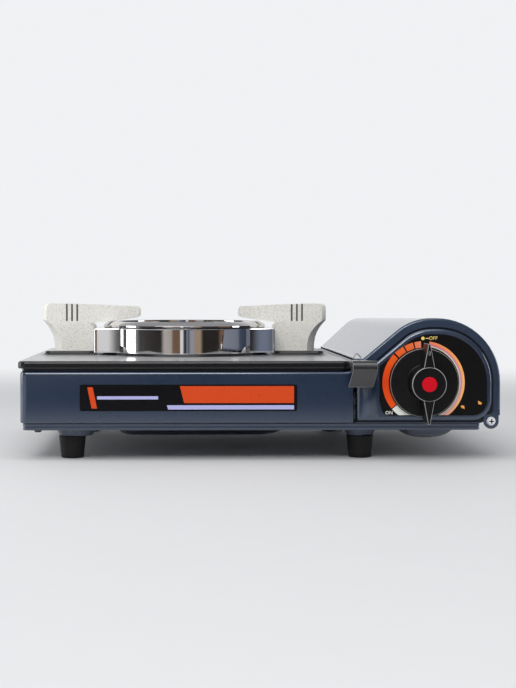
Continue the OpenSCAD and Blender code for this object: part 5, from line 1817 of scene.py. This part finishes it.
@dataclass
class Controls:
    """The knob with its cap, and the lock lever."""

    skirt: float = 24.0
    skirt_thick: float = 3.8
    hub: float = 11.9
    wing: float = 27.8
    wing_width: float = 8.4
    wing_back: float = 0.3
    hub_edge: float = 0.5
    bore: float = 3.05
    cap_seat: float = 5.25
    # Bands of the knob's profile, on its edges, that get the light grey painted highlight.
    highlight_bands: tuple[int, ...] = (3, 9)
    nose: float = 5.2
    cut_behind: float = 1.5
    flap_thick: float = 1.4
    flap_height: float = 18.8
    flap_width: float = 17.4
    flap_lean: float = 2.7
    flap_straight: float = 7.0
    rib_in: float = 2.5
    rib_thick: float = 1.5

    def build(self) -> None:
        """Builds the controls."""
        self.knob_disc()
        self.knob_wing()
        self.knob_mark()
        self.cap()
        carry_over(["valve_spindle", "spindle_cam"], 0.15)
        self.lever_blade()
        self.lever_flap()
        self.lever_rib()

    def knob_disc(self) -> None:
        """The round skirt and hub of the knob."""
        span = Span.of("control_knob")
        back = span.hi.y
        face = span.lo.y
        base = back - self.skirt_thick
        r = self.skirt
        hub = self.hub
        edge = self.hub_edge
        seat = self.cap_seat
        profile = [
            (self.bore, back), (r - 0.5, back), (r, back - 0.6), (r, base + 0.9), (r - 0.35, base + 0.25),
            (r - 1.3, base), (hub + 1.6, base - 0.9), (hub + 0.5, base - 1.6), (hub + 0.1, base - 3.0),
            (hub, face + edge), (hub - edge, face), (hub - edge - 0.3, face), (seat, face),
            (seat, face + 1.6),
        ]
        # The listed bands on the knob's edges get the light grey: painted highlight.
        slots = [int(band in self.highlight_bands) for band in range(len(profile) - 1)]
        rings = spun(profile, span.mid, Axis.DEPTH, 128)
        piece = Draft("control_knob_turned").loft(rings, slots=slots).build(30)
        dress(piece, Body.KNOB, BLACK_PLASTIC, PLASTIC_HIGHLIGHT_AND_MARK, nodes=["control_knob"])

    def knob_wing(self) -> None:
        """The double-pointed wing across the knob."""
        span = Span.of("control_knob")
        mid = span.mid
        half = self.wing_width / 2
        side = [(0.7, self.wing), (half - 0.9, self.hub + 2.0), (half, self.hub - 3.0)]
        right = [(x, -z) for x, z in side] + side[::-1]
        outline = right + [(-x, -z) for x, z in right]
        points = [(mid.x + x, mid.z + z) for x, z in outline]
        depths = (span.hi.y - self.skirt_thick + 0.5, span.lo.y + self.wing_back)
        rings = [upright(points, y) for y in depths]
        piece = Draft("control_knob_wing").loft(rings, caps=(True, True)).build(20)
        # The wing's rounded edges get the light grey: painted highlight.
        dress(round_edges(piece, 0.4, 15, slot=1), Body.KNOB, BLACK_PLASTIC, PLASTIC_HIGHLIGHT_AND_MARK)

    def knob_mark(self) -> None:
        """The raised pale mark near the wing's upper point."""
        span = Span.of("control_knob")
        spot = Vector((span.mid.x, 0, span.mid.z + (self.wing - 1.0) * 0.8))
        face = span.lo.y + self.wing_back
        profile = ((0.75, 1.5, -0.02), (0.75, 1.5, -0.2), (0.45, 1.2, -0.2), (0.45, 1.2, -0.02))
        rings = [upright(ellipse(spot.x, spot.z, wide, tall, 24), face + out) for wide, tall, out in profile]
        # The mark's pale grey is its own colour, the same grey that paints the highlight on the knob's
        # edges.
        dress(Draft("control_knob_mark").loft(rings).build(40), Body.KNOB, PLASTIC_HIGHLIGHT_AND_MARK)

    def cap(self) -> None:
        """The coloured cap in the middle of the knob."""
        span = Span.of("knob_cap")
        r = span.wide / 2
        front = span.lo.y
        profile = [(r, span.hi.y), (r, front + 0.5)]
        profile += [(r - i * 0.5, front + 0.25 + o * 0.5) for i, o in reversed(quarter(0.6, 3))]
        profile += [(r * 0.5, front + 0.02), (0.01, front)]
        piece = Draft("knob_cap_moulded").loft(spun(profile, span.mid, Axis.DEPTH, 64)).build(40)
        dress(piece, Body.KNOB, RED_PLASTIC, nodes=["knob_cap"])

    @property
    def front_wall(self) -> float:
        """Depth of the front wall's outer face."""
        return Span.of("body_shell").lo.y

    @property
    def flap_left(self) -> float:
        """Left side of the lever's flap at its top."""
        return Span.of("lock_lever").hi.x - self.flap_width

    def lever_blade(self) -> None:
        """The lever's blade, cut off behind the front wall."""
        piece = softened("lock_lever", 0.2, 30)
        with editing(piece.data) as draft:
            bmesh.ops.bisect_plane(
                draft, geom=[*draft.verts, *draft.edges, *draft.faces], plane_no=(0, -1, 0),
                plane_co=Vector((0, self.front_wall - self.cut_behind, 0)) * MM, clear_outer=True,
            )
        dress(piece, Body.LEVER, LEVER_PLASTIC)

    def nose_arc(self, radius: float) -> list[Point]:
        """Points in Y and Z round the flap's nose, from its top to its front.

        Args:
            radius: Radius of the arc.

        Returns:
            The points.
        """
        span = Span.of("lock_lever")
        y = span.lo.y + self.nose
        z = span.hi.z - self.nose
        turns = [math.radians(90 + 8 * k) for k in range(14)]
        return [(y + radius * math.cos(a), z + radius * math.sin(a)) for a in turns]

    def lever_flap(self) -> None:
        """The lever's finger flap with a rounded nose."""
        span = Span.of("lock_lever")
        y0 = span.lo.y
        z1 = span.hi.z
        z0 = z1 - self.flap_height
        thick = self.flap_thick
        cut = self.front_wall - self.cut_behind
        profile = [(cut, z1)] + self.nose_arc(self.nose)
        profile += [(y0 + 0.3, z1 - 8), (y0 + 0.7, z1 - 10.2), (y0 + 1.4, z1 - 12.6), (y0 + 2.6, z1 - 15.4)]
        profile += [(y0 + 4.4, z0 + 0.2), (y0 + 4.4 + thick, z0)]
        profile += self.nose_arc(self.nose - thick)[::-1] + [(cut, z1 - thick)]
        straight = self.flap_straight
        rings = []
        for across in (0.0, self.flap_width):
            ring = []
            for y, z in profile:
                lean = self.flap_lean * max(0.0, (z1 - straight - z) / (self.flap_height - straight))
                ring.append(Vector((self.flap_left + across - lean, y, z)))
            rings.append(ring)
        piece = Draft("lock_lever_flap").loft(rings, caps=(True, True)).build(30)
        # The flap's rounded edges get the lighter plastic: painted highlight.
        dress(round_edges(piece, 0.3, slot=1), Body.LEVER, LEVER_PLASTIC, LEVER_PAINTED_HIGHLIGHT)

    def lever_rib(self) -> None:
        """The upright rib inside the lever's flap."""
        span = Span.of("lock_lever")
        wall = self.front_wall
        y0 = span.lo.y
        z1 = span.hi.z
        z0 = z1 - self.flap_height
        shape = [
            (wall - 1.3, z0 + 2), (wall - 4, z0 + 6), (y0 + 4, z1 - 9), (y0 + 3, z1 - 5),
            (y0 + 6, z1 - 1), (wall - 1.3, z1 - 1),
        ]
        left = self.flap_left + self.rib_in
        sides = [[Vector((x, y, z)) for y, z in shape] for x in (left, left + self.rib_thick)]
        piece = Draft("lock_lever_rib").loft(sides, caps=(True, True)).build(30)
        dress(round_edges(piece, 0.15), Body.LEVER, LEVER_PLASTIC)


# ---- Inside ---------------------------------------------------------------------------------------


@dataclass
class Works:
    """The burner, the gas valve, the sled and the igniter inside the body."""

    cast: tuple[str, ...] = ("burner_body", "burner_cap", "regulator_body", "inlet_collar")
    pressed: tuple[str, ...] = (
        "burner_bracket", "regulator_cover", "regulator_bracket", "cartridge_sled", "sled_rails",
        "lever_bracket", "piezo_clamp", "mixing_tube", "lever_pin",
    )
    small: tuple[str, ...] = (
        "burner_screws", "gas_nozzle", "regulator_screws", "collar_seal", "piezo_igniter",
        "piezo_plunger", "electrode_insulator",
    )
    wires: tuple[str, ...] = ("sled_spring", "ignition_wire", "electrode")

    def build(self) -> None:
        """Builds the pieces inside the body."""
        carry_over(self.cast, 0.5)
        carry_over(self.pressed, 0.2)
        carry_over(self.small, 0.15)
        for node in self.wires:
            mesh = STATE.nodes[node].data
            finish = STATE.finish_of(node)
            mesh.materials.clear()
            mesh.materials.append(finish.material())
            LOG.info("%s, in %s, stays on %s", node, finish.name, STATE.body_of(node).value)


# ---- Studio -----------------------------------------------------------------------------------------

PALE: Colour = (0.84, 0.85, 0.87)
DARK: Colour = (0.024, 0.020, 0.019)
TAN: Colour = (0.34, 0.26, 0.19)
BROWN: Colour = (0.17, 0.10, 0.065)
BRIGHT: Colour = (0.75, 0.75, 0.75)
BLUE: Colour = (0.17, 0.20, 0.27)
GREY: Colour = (0.30, 0.31, 0.34)
ROOM: Stops = (
    (-112, PALE), (-104, (0.08, 0.08, 0.09)), (-94, (0.10, 0.10, 0.11)), (-78, (0.40, 0.40, 0.41)),
    (-68, (0.06, 0.055, 0.055)), (-34, DARK), (-29, (0.46, 0.43, 0.40)), (-19, (0.40, 0.36, 0.32)),
    (-16.5, BROWN), (-6.6, BROWN), (-6.0, BRIGHT), (-1.8, BRIGHT), (-1.3, DARK), (1.7, DARK),
    (2.1, BLUE), (5.2, BLUE), (6.0, DARK), (7.6, GREY), (12.6, GREY), (14.5, TAN), (22, TAN),
    (26, DARK), (49, DARK), (53, BROWN), (68, BROWN), (72, DARK), (114, DARK),
    (122, (0.52, 0.54, 0.60)), (132, PALE),
)


@dataclass(frozen=True)
class Lamp:
    """A soft rectangular lamp aimed at the stove, with its sizes in metres and power in watts."""

    name: str
    place: tuple[float, float, float]
    size: Point
    power: float
    aim: tuple[float, float, float] = (0, 0, 0.05)

    def build(self) -> None:
        """Adds the lamp to the scene."""
        light = bpy.data.lights.new(self.name, "AREA")
        light.shape = "RECTANGLE"
        light.size, light.size_y = self.size
        light.energy = self.power
        lamp = placed(self.name, light)
        lamp.location = self.place
        way = Vector(self.aim) - Vector(self.place)
        lamp.rotation_euler = way.to_track_quat("-Z", "Y").to_euler()


@dataclass
class Studio:
    """A pale floor, soft light and the camera."""

    floor_radius: float = 1500.0
    fade: Point = (0.45, 1.3)
    dark_along_y: Point = (-0.30, -0.62)
    dark_along_x: Point = (-0.50, -0.20)
    backdrop: Colour = (0.87, 0.885, 0.905)
    floor_colour: Colour = (0.66, 0.66, 0.66)
    floor_roughness: float = 0.7
    floor_dark: Colour = (0.03, 0.028, 0.03)
    ceiling: Colour = (0.32, 0.32, 0.33)
    ceiling_rise: Point = (0.3, 0.8)
    even_light: Colour = (0.93, 0.95, 1.0)
    even_strength: float = 0.6
    eye: tuple[float, float, float] = (-55.1, -1108.4, 116.4)
    lens: float = 74.32
    yaw: float = 0.9
    pitch: float = 1.881
    shift: Point = (0.0793, -0.0028)
    far_clip: float = 50.0
    lamps: tuple[Lamp, ...] = (
        Lamp("lamp_above", (-0.2, -0.6, 1.5), (1.4, 1.1), 8.0),
        Lamp("lamp_left", (-0.80, -0.11, 0.27), (0.22, 0.52), 1.9),
        Lamp("lamp_right", (0.95, -0.22, 0.22), (0.20, 0.40), 1.0),
        Lamp("lamp_front", (-0.45, -1.9, 1.4), (1.3, 0.7), 20.0),
    )

    def build(self) -> None:
        """Builds the studio."""
        self.floor()
        self.world()
        for lamp in self.lamps:
            lamp.build()
        self.camera()
        bpy.context.scene.view_settings.view_transform = "Standard"

    def floor(self) -> None:
        """A round floor whose rim fades into the backdrop; reflections see it darken ahead."""
        rim = level(ellipse(0, 0, self.floor_radius, self.floor_radius, 96), 0)
        piece = Draft("floor").patch(rim).build(30, outward=False)
        graph = Graph("floor_paper")
        graph.blend(graph.noise(60, 2), shade(self.floor_colour, 0.99), self.floor_colour)
        graph.feed(graph.shader, {"Roughness": self.floor_roughness})
        length = graph.add("VectorMath", {0: graph.place()}, operation="LENGTH").outputs["Value"]
        fade = graph.ranged(length, self.fade, ease=True)
        paper = graph.mix(fade, graph.shader.outputs[0], graph.glow(self.backdrop))
        place = graph.parts(graph.place())
        near_y = graph.ranged(place["Y"], self.dark_along_y, ease=True)
        near_x = graph.ranged(place["X"], self.dark_along_x, ease=True)
        glossy = graph.add("LightPath").outputs["Is Glossy Ray"]
        share = graph.calc("MULTIPLY", glossy, graph.calc("MULTIPLY", near_y, near_x))
        graph.feed(graph.output, {"Surface": graph.mix(share, paper, graph.glow(self.floor_dark))})
        piece.data.materials.append(graph.material)

    def world(self) -> None:
        """Even light; glossy surfaces see a dim room ahead, a pale one behind and a grey ceiling."""
        graph = WorldGraph("studio")
        place = graph.parts(graph.add("TexCoord").outputs["Generated"])
        turn = graph.share_of_turn(place["X"], graph.calc("MULTIPLY", place["Y"], -1.0))
        room = graph.ramp(turn, [(angle / 360 + 0.5, colour) for angle, colour in ROOM])
        rise = graph.ranged(place["Z"], self.ceiling_rise, ease=True)
        sky = graph.add("Mix", {"Factor": rise, "A": room, "B": (*self.ceiling, 1)}, data_type="RGBA")
        ray = graph.add("LightPath").outputs
        even = graph.glow(self.even_light, self.even_strength)
        light = graph.mix(ray["Is Glossy Ray"], even, graph.glow(sky.outputs["Result"]))
        seen = graph.mix(ray["Is Camera Ray"], light, graph.glow(self.backdrop))
        graph.add("OutputWorld", {"Surface": seen})

    def camera(self) -> None:
        """The camera, a little above the stove and left of its middle."""
        data = bpy.data.cameras.new("camera")
        data.lens = self.lens
        data.shift_x, data.shift_y = self.shift
        data.clip_end = self.far_clip
        camera = placed("camera", data)
        camera.location = Vector(self.eye) * MM
        camera.rotation_euler = (math.radians(90 - self.pitch), 0.0, math.radians(-self.yaw))
        bpy.context.scene.camera = camera


def main() -> None:
    """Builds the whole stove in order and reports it."""
    logging.basicConfig(level=logging.INFO, format="%(name)s: %(message)s")
    STATE.load()
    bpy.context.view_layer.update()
    layout = Layout()
    lid = Lid(layout)
    for part in (Housing(layout), Cooktop(layout), lid, Front(lid), Controls(), Works(), Studio()):
        part.build()
        LOG.info("%s built", type(part).__name__)


if __name__ == "__main__":
    main()
